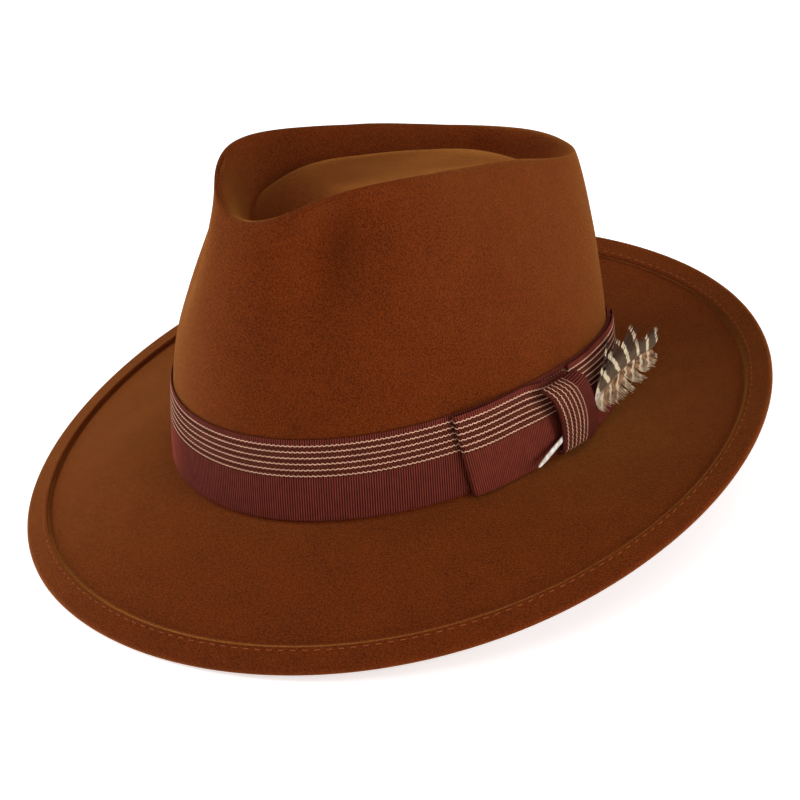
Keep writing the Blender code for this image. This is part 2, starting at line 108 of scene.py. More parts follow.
# %% [markdown]
# ## The felt's form
#
# A hatter's block can be written down. The head opening is a slightly squared oval. The rim
# round the top is a second curve that is narrow at the back and full near the front. The wall
# leans from one to the other, and two thumb pinches press it in at the front. The top sags
# inside the rim: a valley runs round a low dome. Formulas keep every ring smooth, and later
# pieces lie against the same formulas, so nothing has to be fitted by eye.

# %% Sizes of the block
HEAD_HALF_WIDTH = 82.7 * MM
HEAD_HALF_LENGTH = 102.7 * MM
OVAL_POWER = 2.04
BREAK_SADDLE = 2.6 * MM
FELT = 2.0 * MM
GAP = 0.3 * MM
BRIM_WIDTH = 70.9 * MM
BRIM_SLOPE = (-3.4, -24.0, 2.2, 1.3)
BRIM_ROLL = 1.3
WELT_WIDTH = 10.6 * MM
WELT_RISE = 1.8 * MM
CROWN_HEIGHT = 114.0 * MM
CROWN_RISE = (10.0, -6.2, -3.7, -1.1, -1.0)
RIM_HALF_WIDTH = 40.2 * MM
RIM_FRONT = 24.7 * MM
RIM_BACK = 6.8 * MM
RIM_FULLNESS = (0.27, 0.51, -0.37)
WALL_LEAN = 0.80
WALL_CURVE = (1.46, 0.53)
SHOULDER_POWER = 4.2
PINCH_DEPTH = 17.0 * MM
PINCH_ANGLE = 36.0
PINCH_SPREAD = 13.6
PINCH_HEIGHT = 0.85
PINCH_TALL = 0.23
CREASE_DEPTH = 14.0 * MM
CREASE_FRONT = 4.0 * MM
CREASE_PLACE = 0.83
CREASE_INNER = 0.42
DOME_DROP = 6.0 * MM
DOME_FALL = 0.11
DOME_BEND = 1.2
print("head opening", round(2 * HEAD_HALF_WIDTH / MM), "by", round(2 * HEAD_HALF_LENGTH / MM), "mm")

# %% Formulas of the block


def oval(angle):
    s, c = np.sin(angle), np.cos(angle)
    return np.stack([HEAD_HALF_WIDTH * np.sign(s) * np.abs(s) ** (2.0 / OVAL_POWER),
                     -HEAD_HALF_LENGTH * np.sign(c) * np.abs(c) ** (2.0 / OVAL_POWER)], -1)


def oval_normal(angle):
    normal = np.stack([np.sin(angle) / HEAD_HALF_WIDTH, -np.cos(angle) / HEAD_HALF_LENGTH], -1)
    return normal / np.linalg.norm(normal, axis=-1, keepdims=True)


def break_height(angle):
    return -BREAK_SADDLE * np.cos(2.0 * angle)


def harmonics(angle, factors):
    return sum(f * np.cos((n + 1) * angle) for n, f in enumerate(factors))


def rim(angle):
    """The crest round the top of the crown."""
    s, c = np.sin(angle), np.cos(angle)
    front, back = -(HEAD_HALF_LENGTH - RIM_FRONT), HEAD_HALF_LENGTH - RIM_BACK
    full = 1.0 + sum(f * c ** (n + 1) for n, f in enumerate(RIM_FULLNESS))
    rise = CROWN_HEIGHT + harmonics(angle, [f * MM for f in CROWN_RISE])
    return np.stack([RIM_HALF_WIDTH * s * full, (front + back) / 2 - (back - front) / 2 * c, rise], -1)


def wall(angle, share):
    """The crown's side: share is 0 at the brim break and 1 at the rim."""
    angle, share = np.broadcast_arrays(np.asarray(angle, float), np.asarray(share, float))
    edge, low = rim(angle), break_height(angle)
    lean = WALL_LEAN * np.abs(share) ** (WALL_CURVE[0] + WALL_CURVE[1] * np.cos(angle) ** 2)
    shoulder = (1.0 - WALL_LEAN) * (1.0 - np.sqrt(1.0 - np.clip(share, 0, 1) ** SHOULDER_POWER))
    turned = np.abs(np.degrees((angle + math.pi) % (2 * math.pi) - math.pi))
    pinch = (PINCH_DEPTH * np.exp(-((turned - PINCH_ANGLE) / PINCH_SPREAD) ** 2)
             * np.exp(-((share - PINCH_HEIGHT) / PINCH_TALL) ** 2)
             * (1.0 - np.clip(share, 0, 1) ** 12))
    plan = oval(angle) + (edge[..., :2] - oval(angle)) * (lean + shoulder)[..., None]
    plan = plan - oval_normal(angle) * pinch[..., None]
    return np.concatenate([plan, (low + (edge[..., 2] - low) * share)[..., None]], -1)


def wall_at(angle, height, out=0.0):
    """On the wall at a height above the break, then moved out, square to the felt."""
    angle, height, out = np.broadcast_arrays(np.asarray(angle, float), height, out)
    share = height / (rim(angle)[..., 2] - break_height(angle))
    here, small = wall(angle, share), 0.001
    outward = np.cross(wall(angle + small, share) - wall(angle - small, share),
                       wall(angle, share + small) - here)
    outward = outward / np.linalg.norm(outward, axis=-1, keepdims=True)
    return here + outward * out[..., None]


def dome_height(back):
    return CROWN_HEIGHT - DOME_DROP - DOME_FALL * back - DOME_BEND * back * back


def crown_top(angle, out):
    """The creased top: out is 1 at the rim and 0 in the middle."""
    angle, out = np.broadcast_arrays(np.asarray(angle, float), out)
    edge = rim(angle)
    middle = np.array([0.0, (RIM_FRONT - RIM_BACK) / 2.0])
    plan = middle + (edge[..., :2] - middle) * out[..., None]
    height = dome_height(plan[..., 1] - middle[1])
    height = height + (edge[..., 2] - dome_height(edge[..., 1] - middle[1])) * out ** 2
    near = (1.0 - out) / (1.0 - CREASE_PLACE)
    far = np.clip((CREASE_PLACE - out) / (CREASE_PLACE - CREASE_INNER), 0.0, 1.0)
    fall = np.where(out > CREASE_PLACE, near * near * (0.67 + 2.66 * near - 2.33 * near * near),
                    (1.0 - far) ** 2)
    height = height - (CREASE_DEPTH + CREASE_FRONT * np.cos(angle)) * fall
    return np.concatenate([plan, height[..., None]], -1)


def brim(angle, share, lift=0.0):
    """The brim: share is 0 at the break and 1 at the edge, lift is square to it."""
    angle, share, lift = np.broadcast_arrays(np.asarray(angle, float), share, lift)
    slope = np.radians(BRIM_SLOPE[0] + harmonics(angle, BRIM_SLOPE[1:]))
    reach = BRIM_WIDTH * share * np.cos(slope) - lift * np.sin(slope)
    height = (break_height(angle) + BRIM_WIDTH * np.sin(slope) * np.clip(share, 0, 2) ** BRIM_ROLL
              + lift * np.cos(slope))
    return np.concatenate([oval(angle) + oval_normal(angle) * reach[..., None], height[..., None]], -1)


print("highest point of the rim", round(float(rim(np.linspace(0, 6.28, 99))[:, 2].max()) / MM, 1), "mm")

# %% [markdown]
# ## Making a surface from a grid of points
#
# Felt, ribbon, leather and lining are all sheets, and a sheet is a grid: rows one way, columns
# the other. One helper turns such a grid into a mesh. It can close round the hat, close over
# the top with a fan, and it stores the cloth's own lengths as UVs in metres, so that a weave
# keeps its real pitch however the cloth bends.

# %% Grid helper


def surface(name, grid, around=False, first=None, last=None, along=None, across=None):
    """Mesh of a grid (rows, columns, 3). first and last close the ends with a fan."""
    grid = np.asarray(grid, float)
    rows, columns = grid.shape[:2]
    points = grid.reshape(-1, 3)
    steps = columns if around else columns - 1
    c = np.arange(steps)
    nxt = (c + 1) % columns
    faces = []
    for r in range(rows - 1):
        low, high = r * columns, (r + 1) * columns
        faces += np.stack([low + c, low + nxt, high + nxt, high + c], -1).tolist()
    if first is not None:
        points = np.vstack([points, first])
        faces += [[len(points) - 1, int(b), int(a)] for a, b in zip(c, nxt)]
    if last is not None:
        points = np.vstack([points, last])
        top = (rows - 1) * columns
        faces += [[top + int(a), top + int(b), len(points) - 1] for a, b in zip(c, nxt)]
    mesh = bpy.data.meshes.new(name)
    mesh.from_pydata(points.tolist(), [], faces)
    if along is not None:
        u = np.broadcast_to(along, (rows, steps + 1) if around else (rows, columns))
        v = np.broadcast_to(across, u.shape)
        corners = []
        for r in range(rows - 1):
            ring = np.stack([u[r, :steps], v[r, :steps], u[r, 1:steps + 1], v[r, 1:steps + 1],
                             u[r + 1, 1:steps + 1], v[r + 1, 1:steps + 1],
                             u[r + 1, :steps], v[r + 1, :steps]], -1)
            corners.append(ring.reshape(-1))
        for end, used in ((0, first), (-1, last)):
            if used is not None:
                fan = np.stack([u[end, :steps], v[end, :steps]] * 3, -1)
                corners.append(fan.reshape(-1))
        mesh.uv_layers.new(name="cloth").data.foreach_set("uv", np.concatenate(corners).astype(np.float32))
    mesh.shade_smooth()
    piece = bpy.data.objects.new(name, mesh)
    bpy.context.scene.collection.objects.link(piece)
    return piece


def thicken(piece, thickness, offset=-1.0):
    """Gives a sheet its thickness, kept as a modifier."""
    solid = piece.modifiers.new("thickness", 'SOLIDIFY')
    solid.thickness = thickness
    solid.offset = offset
    solid.use_even_offset = True
    return piece


def tube(name, lines, radius, closed=False, sides=2, tips=True):
    """Round cords through lists of points; thread ends taper when tips is set."""
    curve = bpy.data.curves.new(name, 'CURVE')
    curve.dimensions = '3D'
    curve.bevel_depth = radius
    curve.bevel_resolution = sides
    curve.use_fill_caps = True
    for line in lines:
        spline = curve.splines.new('POLY')
        spline.points.add(len(line) - 1)
        spline.points.foreach_set("co", np.hstack([line, np.ones((len(line), 1))]).ravel())
        spline.use_cyclic_u = closed
        spline.use_smooth = True
        if tips and not closed:
            for end in (0, -1):
                spline.points[end].radius = 0.45
    rope = bpy.data.objects.new(name, curve)
    bpy.context.scene.collection.objects.link(rope)
    seen = rope.evaluated_get(bpy.context.evaluated_depsgraph_get())
    mesh = bpy.data.meshes.new_from_object(seen)
    bpy.data.objects.remove(rope)
    bpy.data.curves.remove(curve)
    shell = bmesh.new()
    shell.from_mesh(mesh)
    bmesh.ops.remove_doubles(shell, verts=shell.verts, dist=0.001 * MM)
    shell.to_mesh(mesh)
    shell.free()
    mesh.shade_smooth()
    piece = bpy.data.objects.new(name, mesh)
    bpy.context.scene.collection.objects.link(piece)
    return piece


def place(piece, body, slot, *nodes):
    """Seats a finished piece under its body and hides the plain solids it stands for; the slot is not used.
    """
    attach(piece, body)
    if nodes:
        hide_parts(*nodes)
    return piece


print("helpers ready")

# %% [markdown]
# ## The felt body
#
# The brim's edge is folded up and sewn down, which hatters call an overwelt. So the felt is one
# closed skin: up the inside of the crown, out along the underside of the brim, round the fold,
# back along the top, and up and over the crown. Hand blocking is never perfect, so slow noise
# moves the felt by a fraction of a millimetre where nothing lies against it.

# %% Felt body
CLOSE_ROWS = 0.17                # the outer share of the dome, where rows lie closer
AROUND = 300
TURNS = np.linspace(0.0, 2.0 * math.pi, AROUND, endpoint=False)
UNEVEN = 0.45 * MM               # how far hand blocking moves the felt
RIBBON_WIDTH = 34.5 * MM


def square_to(rows):
    """Unit normals of a grid of points that goes round the hat."""
    rows = np.asarray(rows)
    round_the_hat = np.roll(rows, -1, axis=1) - np.roll(rows, 1, axis=1)
    normal = np.cross(round_the_hat, np.gradient(rows, axis=0))
    return normal / np.linalg.norm(normal, axis=-1, keepdims=True)


def smooth_step(x):
    x = np.clip(x, 0.0, 1.0)
    return x * x * (3.0 - 2.0 * x)


def slow_noise(points, size):
    values = [noise.noise(Vector(point) / size) for point in points.reshape(-1, 3)]
    return np.array(values).reshape(points.shape[:-1])


def felt_rows():
    """Outer side of the felt, from the welt's inner edge to the middle of the crown."""
    inner = 1.0 - WELT_WIDTH / BRIM_WIDTH
    rows = [brim(TURNS, share) for share in np.linspace(inner + 0.006, 0.0, 26)[:-1]]
    rows += [wall(TURNS, share) for share in np.linspace(0.0, 0.72, 26)]
    rows += [wall(TURNS, 1.0 - (1.0 - share) ** 1.7 * 0.28) for share in np.linspace(0.04, 1.0, 24)]
    rows += [crown_top(TURNS, 1.0 - share ** 1.4 * CLOSE_ROWS) for share in np.linspace(0.0, 1.0, 14)[1:]]
    rows += [crown_top(TURNS, out) for out in np.linspace(0.80, 0.03, 30)]
    rows = np.array(rows)
    away = smooth_step((rows[..., 2] - 0.045) / 0.02)
    reach = np.linalg.norm(rows[..., :2], axis=-1)
    from_break = reach - np.linalg.norm(oval(TURNS), axis=-1)
    on_brim = smooth_step((from_break - 0.015) / 0.015) * (rows[..., 2] < 0.04)
    on_brim *= smooth_step((BRIM_WIDTH * inner - 0.010 - from_break) / 0.010)
    lumps = slow_noise(rows, 0.035) + 0.35 * slow_noise(rows, 0.014)
    return rows + square_to(rows) * (lumps * (away + on_brim) * UNEVEN)[..., None]


def make_felt():
    outer = felt_rows()
    inside = outer - square_to(outer) * FELT
    half = (FELT + WELT_RISE) / 2.0
    welt = 1.0 - WELT_WIDTH / BRIM_WIDTH
    under = [brim(TURNS, share, -FELT) for share in np.linspace(welt + 0.02, 1.0 - half / BRIM_WIDTH, 8)]
    fold = [brim(TURNS, 1.0 - (1.0 - math.cos(a)) * half / BRIM_WIDTH,
                 WELT_RISE - half + half * math.sin(a))
            for a in np.radians(np.linspace(-80.0, 80.0, 9))]
    over = [brim(TURNS, share, WELT_RISE)
            for share in np.linspace(1.0 - half / BRIM_WIDTH, welt + 0.012, 12)]
    cut_edge = ((0.006, WELT_RISE * 0.9), (0.002, WELT_RISE * 0.62),
                (0.0005, WELT_RISE * 0.25), (0.002, 0.02 * MM))
    step = [brim(TURNS, welt + past, lift) for past, lift in cut_edge]
    rows = list(inside[::-1]) + under + fold + over + step + list(outer)
    apex = crown_top(0.0, 0.0)
    piece = surface("felt_hat", rows, around=True, first=apex - np.array([0, 0, FELT]), last=apex)
    return place(piece, "hat", "felt", "felt_body")


felt = make_felt()
low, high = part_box("felt_body")
print("felt faces:", len(felt.data.polygons), " frame's felt:", [round(x * 1000) for x in high - low], "mm")

# %% [markdown]
# ## Welt stitching
#
# One row of short stitches holds the folded edge. Each stitch is a little arc that dips into
# the felt at both ends.

# %% Welt stitching
STITCH_PITCH = 4.6 * MM
STITCH_LENGTH = 2.7 * MM
STITCH_INSET = 2.0 * MM
THREAD = 0.17 * MM


def evenly(share, lift, pitch):
    """Angles of marks that lie a pitch apart along a line round the brim."""
    fine = np.linspace(0.0, 2.0 * math.pi, 2881)
    line = brim(fine, share, lift)
    run = np.concatenate([[0.0], np.cumsum(np.linalg.norm(np.diff(line, axis=0), axis=1))])
    count = int(round(run[-1] / pitch))
    return lambda k: np.interp((np.asarray(k) / count * run[-1]) % run[-1], run, fine), count


def make_welt_stitching():
    share = 1.0 - (WELT_WIDTH - STITCH_INSET) / BRIM_WIDTH
    angle_of, count = evenly(share, WELT_RISE, STITCH_PITCH)
    half = STITCH_LENGTH / STITCH_PITCH / 2.0
    lines = []
    for k in range(count):
        lean = 0.10 * math.sin(k * 1.7)
        angles = angle_of(k + np.linspace(-half, half, 7))
        arch = np.array([-1.2, -0.3, 0.2, 0.3, 0.2, -0.3, -1.2]) * THREAD
        shares = share + np.linspace(-1, 1, 7) * lean * MM / BRIM_WIDTH
        lines.append(brim(angles, shares, WELT_RISE + arch))
    return place(tube("welt_stitches", lines, THREAD), "hat", "welt_thread", "welt_stitching")


welt_stitches = make_welt_stitching()
print("faces in the welt's stitches:", len(welt_stitches.data.polygons))

# %% [markdown]
# ## Grosgrain ribbon
#
# Grosgrain is woven with thick weft yarns, so it has a rib about every millimetre, straight
# across its width. The ribs are real ridges in these meshes: the columns of each grid are a
# quarter of a rib apart, and every fourth one stands proud. Distances along the ribbon are
# measured on the cloth, so the ribs keep their pitch round every fold.

# %% Ribbon sizes and measures
RIB_PITCH = 0.98 * MM
RIB_RISE = 0.11 * MM
RIBBON_LIFT = 0.9 * MM
RIBBON_THICK = 0.45 * MM
COLUMN = RIB_PITCH / 4.0

FINE_TURN = np.linspace(0.0, 2.0 * math.pi, 2881)
BAND_RUN = np.concatenate([[0.0], np.cumsum(np.linalg.norm(np.diff(oval(FINE_TURN), axis=0), axis=1))])


def band_angle(distance):
    """Angle of the point that lies this far along the band from the front centre."""
    return np.interp(distance, BAND_RUN, FINE_TURN)


def rib(count):
    """Ridge and groove across a run of columns, between -1 and 1."""
    return np.cos(np.arange(count) * math.pi / 2.0)


print("the ribbon is", round(BAND_RUN[-1] / MM), "mm round")

# %% Hat band
BAND_OUT = GAP + 0.6 * MM        # its outer face, off the felt


def make_hat_band():
    ribs = int(round(BAND_RUN[-1] / RIB_PITCH))
    count = ribs * 4
    angles = band_angle(np.arange(count) * BAND_RUN[-1] / count)
    shares = np.array([0.0, 0.012, 0.05, 0.2, 0.4, 0.6, 0.8, 0.95, 0.988, 1.0])
    edge = 0.06 * MM * rib(count)
    rows = []
    for share in shares:
        height = RIBBON_LIFT + RIBBON_WIDTH * share + edge * (2.0 * share - 1.0) * (abs(share - 0.5) > 0.49)
        tight = 0.12 * MM if share in (0.0, 1.0) else 0.0
        rows.append(wall_at(angles, height, BAND_OUT + RIB_RISE * rib(count) - tight))
    band = surface("ribbon_band", rows, around=True, along=np.arange(count + 1) * COLUMN,
                   across=(shares * RIBBON_WIDTH)[:, None])
    thicken(band, RIBBON_THICK)
    return place(band, "hat", "grosgrain", "hat_band")


hat_band = make_hat_band()
print("columns in the band:", len(hat_band.data.vertices) // 10)

# %% [markdown]
# ## The flat bow
#
# A hatter's bow is no knot at all. Two loops of ribbon are laid flat against the band, and a
# third short strip is drawn round their middle. The loops keep a soft roll at their folds, and
# the strip squeezes them a little, so they stand off it in a shadow.

# %% Bow loops
BAND = 0.8 * MM                  # the band's whole thickness in the frame
BOW_RIBBON = 0.6 * MM
BOW_CENTRE = 169.0 * MM
BOW_HALF_LENGTH = 60.6 * MM
BOW_FOLD = 2.6 * MM
REAR_FOLD = 1.2 * MM             # the rear loop is pressed flatter and is a little longer
REAR_LONGER = 5.0 * MM
BOW_WAIST = 0.95 * MM
FOLD_LEAN = 7.0 * MM
KNOT_WIDTH = 26.0 * MM
SQUEEZE_FRONT = 0.06             # share of the width that the strip takes off a loop's top
SQUEEZE_REAR = 0.02
SQUEEZE_FOOT = 0.07              # and off both loops' lower edges
SQUEEZE_REACH = 16.0 * MM
QUILL_TAIL = 30.5 * MM
LOOP_THICK = 0.45 * MM


def spaced(path, count):
    """The same path with evenly spaced points, their distances and their normals."""
    path = np.asarray(path, float)
    run = np.concatenate([[0.0], np.cumsum(np.linalg.norm(np.diff(path, axis=0), axis=1))])
    at = np.linspace(0.0, run[-1], count)
    points = np.stack([np.interp(at, run, path[:, k]) for k in range(2)], -1)
    step = np.gradient(points, axis=0)
    normal = np.stack([-step[:, 1], step[:, 0]], -1)
    return points, at, normal / np.linalg.norm(normal, axis=1, keepdims=True)


def loop_path(lean, fold):
    """From the knot along the band, round the fold and back: (along, out)."""
    under = GAP + BAND + GAP + BOW_RIBBON / 2.0
    start = GAP + BOW_RIBBON
    flat = BOW_HALF_LENGTH - fold / 2.0 + lean
    path = [(start + (flat - start) * t, under) for t in np.linspace(0.0, 0.97, 30)]
    for a in np.linspace(0.0, math.pi, 15):
        path.append((flat + fold / 2.0 * math.sin(a), under + fold / 2.0 * (1.0 - math.cos(a))))
    for t in np.linspace(0.97, 0.0, 60):
        x = start + (flat - start) * t
        swell = smooth_step((x - QUILL_TAIL) / (0.8 * (flat - QUILL_TAIL)))
        path.append((x, under + BOW_WAIST + (fold - BOW_WAIST) * float(swell)))
    return path


def make_loop(name, side, node, squeeze, fold, longer):
    middle = np.array(loop_path(longer, fold))
    count = int(round(np.linalg.norm(np.diff(middle, axis=0), axis=1).sum() / COLUMN)) + 1
    shares = np.array([0.0, 0.012, 0.06, 0.16, 0.27, 0.38, 0.5, 0.62, 0.73, 0.84, 0.94, 0.988, 1.0])
    rows = []
    for share in shares:
        points, at, normal = spaced(loop_path(FOLD_LEAN * (share - 0.5) + longer, fold), count)
        near = 1.0 - smooth_step((points[:, 0] - KNOT_WIDTH * 0.5) / SQUEEZE_REACH)
        pleat = 0.10 * MM * near * math.sin(share * 13.0) * (points[:, 1] > 2.0 * MM)
        points = points - normal * (RIB_RISE * rib(count))[:, None]
        drawn_in = near * (SQUEEZE_FOOT * (1.0 - share) - squeeze * share)
        height = RIBBON_LIFT + RIBBON_WIDTH * (share + drawn_in)
        rows.append(wall_at(band_angle(BOW_CENTRE + side * points[:, 0]), height, points[:, 1] + pleat))
    loop = surface(name, rows if side > 0 else rows[::-1], along=np.arange(count) * COLUMN, across=(
        shares if side > 0 else shares[::-1])[:, None] * RIBBON_WIDTH)
    thicken(loop, LOOP_THICK, 0.0)
    return place(loop, "hat", "grosgrain", node)


front_loop = make_loop("bow_loop_front", -1.0, "bow_front_loop", SQUEEZE_FRONT, BOW_FOLD, 0.0)
rear_loop = make_loop("bow_loop_rear", 1.0, "bow_rear_loop", SQUEEZE_REAR, REAR_FOLD, REAR_LONGER)
print("loop columns:", len(front_loop.data.vertices) // 13)

# %% [markdown]
# ## The strip round the bow
#
# The short strip runs up and over the loops. It is a roll more than a band: its front half
# rises off the front loop to a crest, and behind the crest it turns back along the crown. Its
# own ribs therefore lie along the hat, and its stripes stand upright.

# %% Knot
KNOT_BULGE = 2.0 * MM
KNOT_CREST = 3.0 * MM
KNOT_LEAN = 7.0 * MM
KNOT_OUT = 6.2 * MM
KNOT_OVERHANG = 1.2 * MM
KNOT_TALL = RIBBON_WIDTH * (1.0 - SQUEEZE_FRONT - SQUEEZE_FOOT)
KNOT_RISE = 1.6 * MM             # its top climbs this much from front to rear
KNOT_TAPER = 4.2 * MM            # its rear half is gathered by this much at its top
ROLL = 3.4 * MM                  # how roundly the strip turns over the ribbon's edges


def knot_path():
    """Up the outside of the bow: (height, out)."""
    low = RIBBON_LIFT + RIBBON_WIDTH * SQUEEZE_FOOT - 0.6 * MM
    high = low + KNOT_TALL + KNOT_OVERHANG
    path = [(low, 2.7 * MM)]
    path += [(low + ROLL * (1.0 - math.cos(a)), 2.7 * MM + (KNOT_OUT - 2.7 * MM) * math.sin(a))
             for a in np.linspace(0.15, math.pi / 2, 10)]
    path += [(high - ROLL * (1.0 - math.sin(a)), 1.3 * MM + (KNOT_OUT - 1.3 * MM) * math.cos(a))
             for a in np.linspace(0.0, math.pi / 2, 14)]
    return path


def above_foot(distance, height, out):
    """Straight above the band's foot, a height above the break."""
    points = wall_at(band_angle(distance), RIBBON_LIFT, out)
    points[..., 2] = break_height(band_angle(distance)) + height
    return points


def make_knot():
    count = int(round(sum(np.hypot(*np.diff(knot_path(), axis=0).T)) / RIB_PITCH)) * 4
    points, at, normal = spaced(knot_path(), count)
    points = points - normal * (RIB_RISE * rib(count))[:, None]
    full = np.sin(np.clip((at - at[0]) / (at[-1] - at[0]), 0, 1) * math.pi) ** 0.5
    shares = np.linspace(-0.5, 0.5, 27)
    rise = np.clip((points[:, 0] - RIBBON_LIFT) / KNOT_TALL - 0.3, 0.0, 1.0)
    lean = KNOT_LEAN * rise ** 2 / 0.49
    grid = []
    for share in shares:
        s = share * KNOT_WIDTH - np.clip(share, 0.0, 0.5) * 2.0 * KNOT_TAPER * (0.45 + 0.8 * rise)
        flat = share * KNOT_WIDTH
        behind = (flat - KNOT_CREST) / (KNOT_WIDTH / 2.0 - KNOT_CREST)
        ahead = (KNOT_CREST - flat) / (KNOT_WIDTH / 2.0 + KNOT_CREST)
        fall = abs(behind) ** 1.5 if flat > KNOT_CREST else abs(ahead) ** 1.8
        bulge = KNOT_BULGE * full * (1.0 - fall)
        edge = 0.7 * MM * full * (max(0.0, -share - 0.42) / 0.08)
        climb = KNOT_RISE * (share + 0.5) * rise / 0.7
        grid.append(above_foot(BOW_CENTRE + s - lean, points[:, 0] + climb, points[:, 1] + bulge - edge))
    grid = np.swapaxes(np.array(grid), 0, 1)
    across = RIBBON_WIDTH - (shares + 0.5) * KNOT_WIDTH * 1.12
    knot = surface("bow_strip", grid, along=(np.arange(count) * COLUMN)[:, None], across=across[None, :])
    thicken(knot, LOOP_THICK, 0.0)
    return place(knot, "hat", "grosgrain", "bow_knot")


bow_strip = make_knot()
print("strip vertices:", len(bow_strip.data.vertices))

# %% [markdown]
# ## The feather
#
# A feather is a shaft with two rows of barbs. Each barb here is its own thin blade that leaves
# the shaft at an angle and curls forward, so the vane's edge frays as a real one does. Its
# UVs hold where it grows on the shaft and how far out a point is, and the bars of colour are
# painted from those two numbers. All of it slides out of the bow in one piece.

# %% Feather sizes
QUILL_RADIUS = 0.85 * MM
QUILL_SLOPE = 0.28
QUILL_HEIGHT = 13.6 * MM
FEATHER_STRAIGHT = 24.0 * MM
FEATHER_LENGTH = 60.0 * MM
FEATHER_BEND = 6.6
BARB_PITCH = 0.40 * MM
BARB_WIDTH = 0.52 * MM
BARB_THICK = 0.12 * MM


def feather_plane():
    """Matrix of the feather's flat plane: X along the band, Y up, Z out from the crown."""
    quill_out = GAP + BAND + GAP + BOW_RIBBON + BOW_WAIST + GAP + QUILL_RADIUS
    here, ahead = (wall_at(band_angle(BOW_CENTRE + d), RIBBON_LIFT, quill_out) for d in (0.0, MM))
    along = Vector((ahead[0] - here[0], ahead[1] - here[1], 0.0)).normalized()
    up = Vector((0.0, 0.0, 1.0))
    seat = Matrix((along, up, along.cross(up))).transposed().to_4x4()
    seat.translation = (here[0], here[1], float(break_height(band_angle(BOW_CENTRE))))
    return np.array(seat)


PLANE = feather_plane()


def in_plane(x, y, z):
    """Points given in the feather's plane, put where the feather is."""
    flat = np.stack(np.broadcast_arrays(x, y, z), -1)
    return flat @ PLANE[:3, :3].T + PLANE[:3, 3]


def shaft_height(x):
    bend = np.clip(np.asarray(x) - FEATHER_STRAIGHT, 0.0, None)
    return QUILL_HEIGHT + QUILL_SLOPE * x - FEATHER_BEND * bend * bend


print("feather plane at", [round(v, 3) for v in PLANE[:3, 3]])

# %% Shaft and quill


def make_shaft():
    """A flattened quill with a slanting cut, thinning into a fine shaft."""
    x = np.linspace(-QUILL_TAIL, FEATHER_LENGTH - 2.0 * MM, 90)
    wide = np.interp(x, np.array([-30.5, -29.6, -24.0, -12.0, 12.0, 30.0, 58.0]) * MM,
                     np.array([0.10, 0.60, 1.30, 1.30, 0.80, 0.42, 0.16]) * MM)
    tall = np.minimum(wide, QUILL_RADIUS * 0.85)
    turn = np.linspace(0.0, 2.0 * math.pi, 12, endpoint=False)
    rows = [in_plane(a + np.zeros(12), shaft_height(a) + w * np.sin(turn), t * np.cos(turn))
            for a, w, t in zip(x, wide, tall)]
    ends = [in_plane(x[k], shaft_height(x[k]), 0.0) for k in (0, -1)]
    shaft = surface("feather_stem", rows, around=True, first=ends[0], last=ends[1],
                    along=np.linspace(0.0, 0.005, 13), across=(x + QUILL_TAIL)[:, None])
    return place(shaft, "feather", "quill", "feather_shaft")


stem = make_shaft()
print("stem length", round((QUILL_TAIL + FEATHER_LENGTH) / MM), "mm")

# %% Barbs


def barb(root, side, length, start, end, camber, lift):
    """Centre line of one barb: it leaves at the start angle and turns to the end angle."""
    t = np.linspace(0.0, 1.0, 9)
    slope = math.atan(QUILL_SLOPE - 2.0 * FEATHER_BEND * max(0.0, root - FEATHER_STRAIGHT))
    angle = slope + side * np.radians(start + (end - start) * t)
    x = root + np.concatenate([[0.0], np.cumsum(np.cos(angle[:-1]))]) * length / 8.0
    y = shaft_height(root) + np.concatenate([[0.0], np.cumsum(np.sin(angle[:-1]))]) * length / 8.0
    return x, y, camber * np.sin(t * 2.4) + lift * t, angle, t


def make_vane(name, side, roots, lengths, starts, ends, node, slot, seed):
    """Blades along one side of the shaft, with splits where neighbours part."""
    rng = np.random.default_rng(seed)
    points, faces, uvs = [], [], []
    split, tuft = 0.0, 1.0
    for k, root in enumerate(np.arange(roots[0], roots[-1], BARB_PITCH)):
        if rng.random() < 0.13:
            split = rng.uniform(-12.0, 20.0)
            tuft = rng.uniform(0.80, 1.16)
        length = float(np.interp(root, roots, lengths)) * tuft * rng.uniform(0.86, 1.08)
        start = float(np.interp(root, roots, starts)) + split * 0.1
        end = float(np.interp(root, roots, ends)) + split + rng.uniform(-5.0, 5.0)
        x, y, z, angle, t = barb(root, side, length, start, end, 0.7 * MM, (k % 3 - 1) * 0.10 * MM)
        wide = BARB_WIDTH * (1.0 - 0.82 * t ** 3) * 0.5
        thick = BARB_THICK * (1.0 - 0.5 * t) * 0.5
        across_x, across_y = -np.sin(angle), np.cos(angle)
        base = len(points)
        for sign_w, sign_t in ((1, 0), (0, 1), (-1, 0), (0, -1)):
            ring = in_plane(x + across_x * wide * sign_w, y + across_y * wide * sign_w, z + thick * sign_t)
            points += ring.tolist()
        n = len(t)
        for r in range(n - 1):
            for q in range(4):
                a, b = base + q * n + r, base + ((q + 1) % 4) * n + r
                faces.append([a, b, b + 1, a + 1])
                uvs += [(root, t[r] * length), (root, t[r] * length),
                        (root, t[r + 1] * length), (root, t[r + 1] * length)]
        for r in (0, n - 1):
            cap = [base + q * n + r for q in range(4)]
            faces.append(cap[::-1] if r == 0 else cap)
            uvs += [(root, t[r] * length)] * 4
    mesh = bpy.data.meshes.new(name)
    mesh.from_pydata(points, [], faces)
    mesh.uv_layers.new(name="cloth").data.foreach_set("uv", np.array(uvs, np.float32).ravel())
    mesh.shade_smooth()
    vane = bpy.data.objects.new(name, mesh)
    bpy.context.scene.collection.objects.link(vane)
    return place(vane, "feather", slot, node)


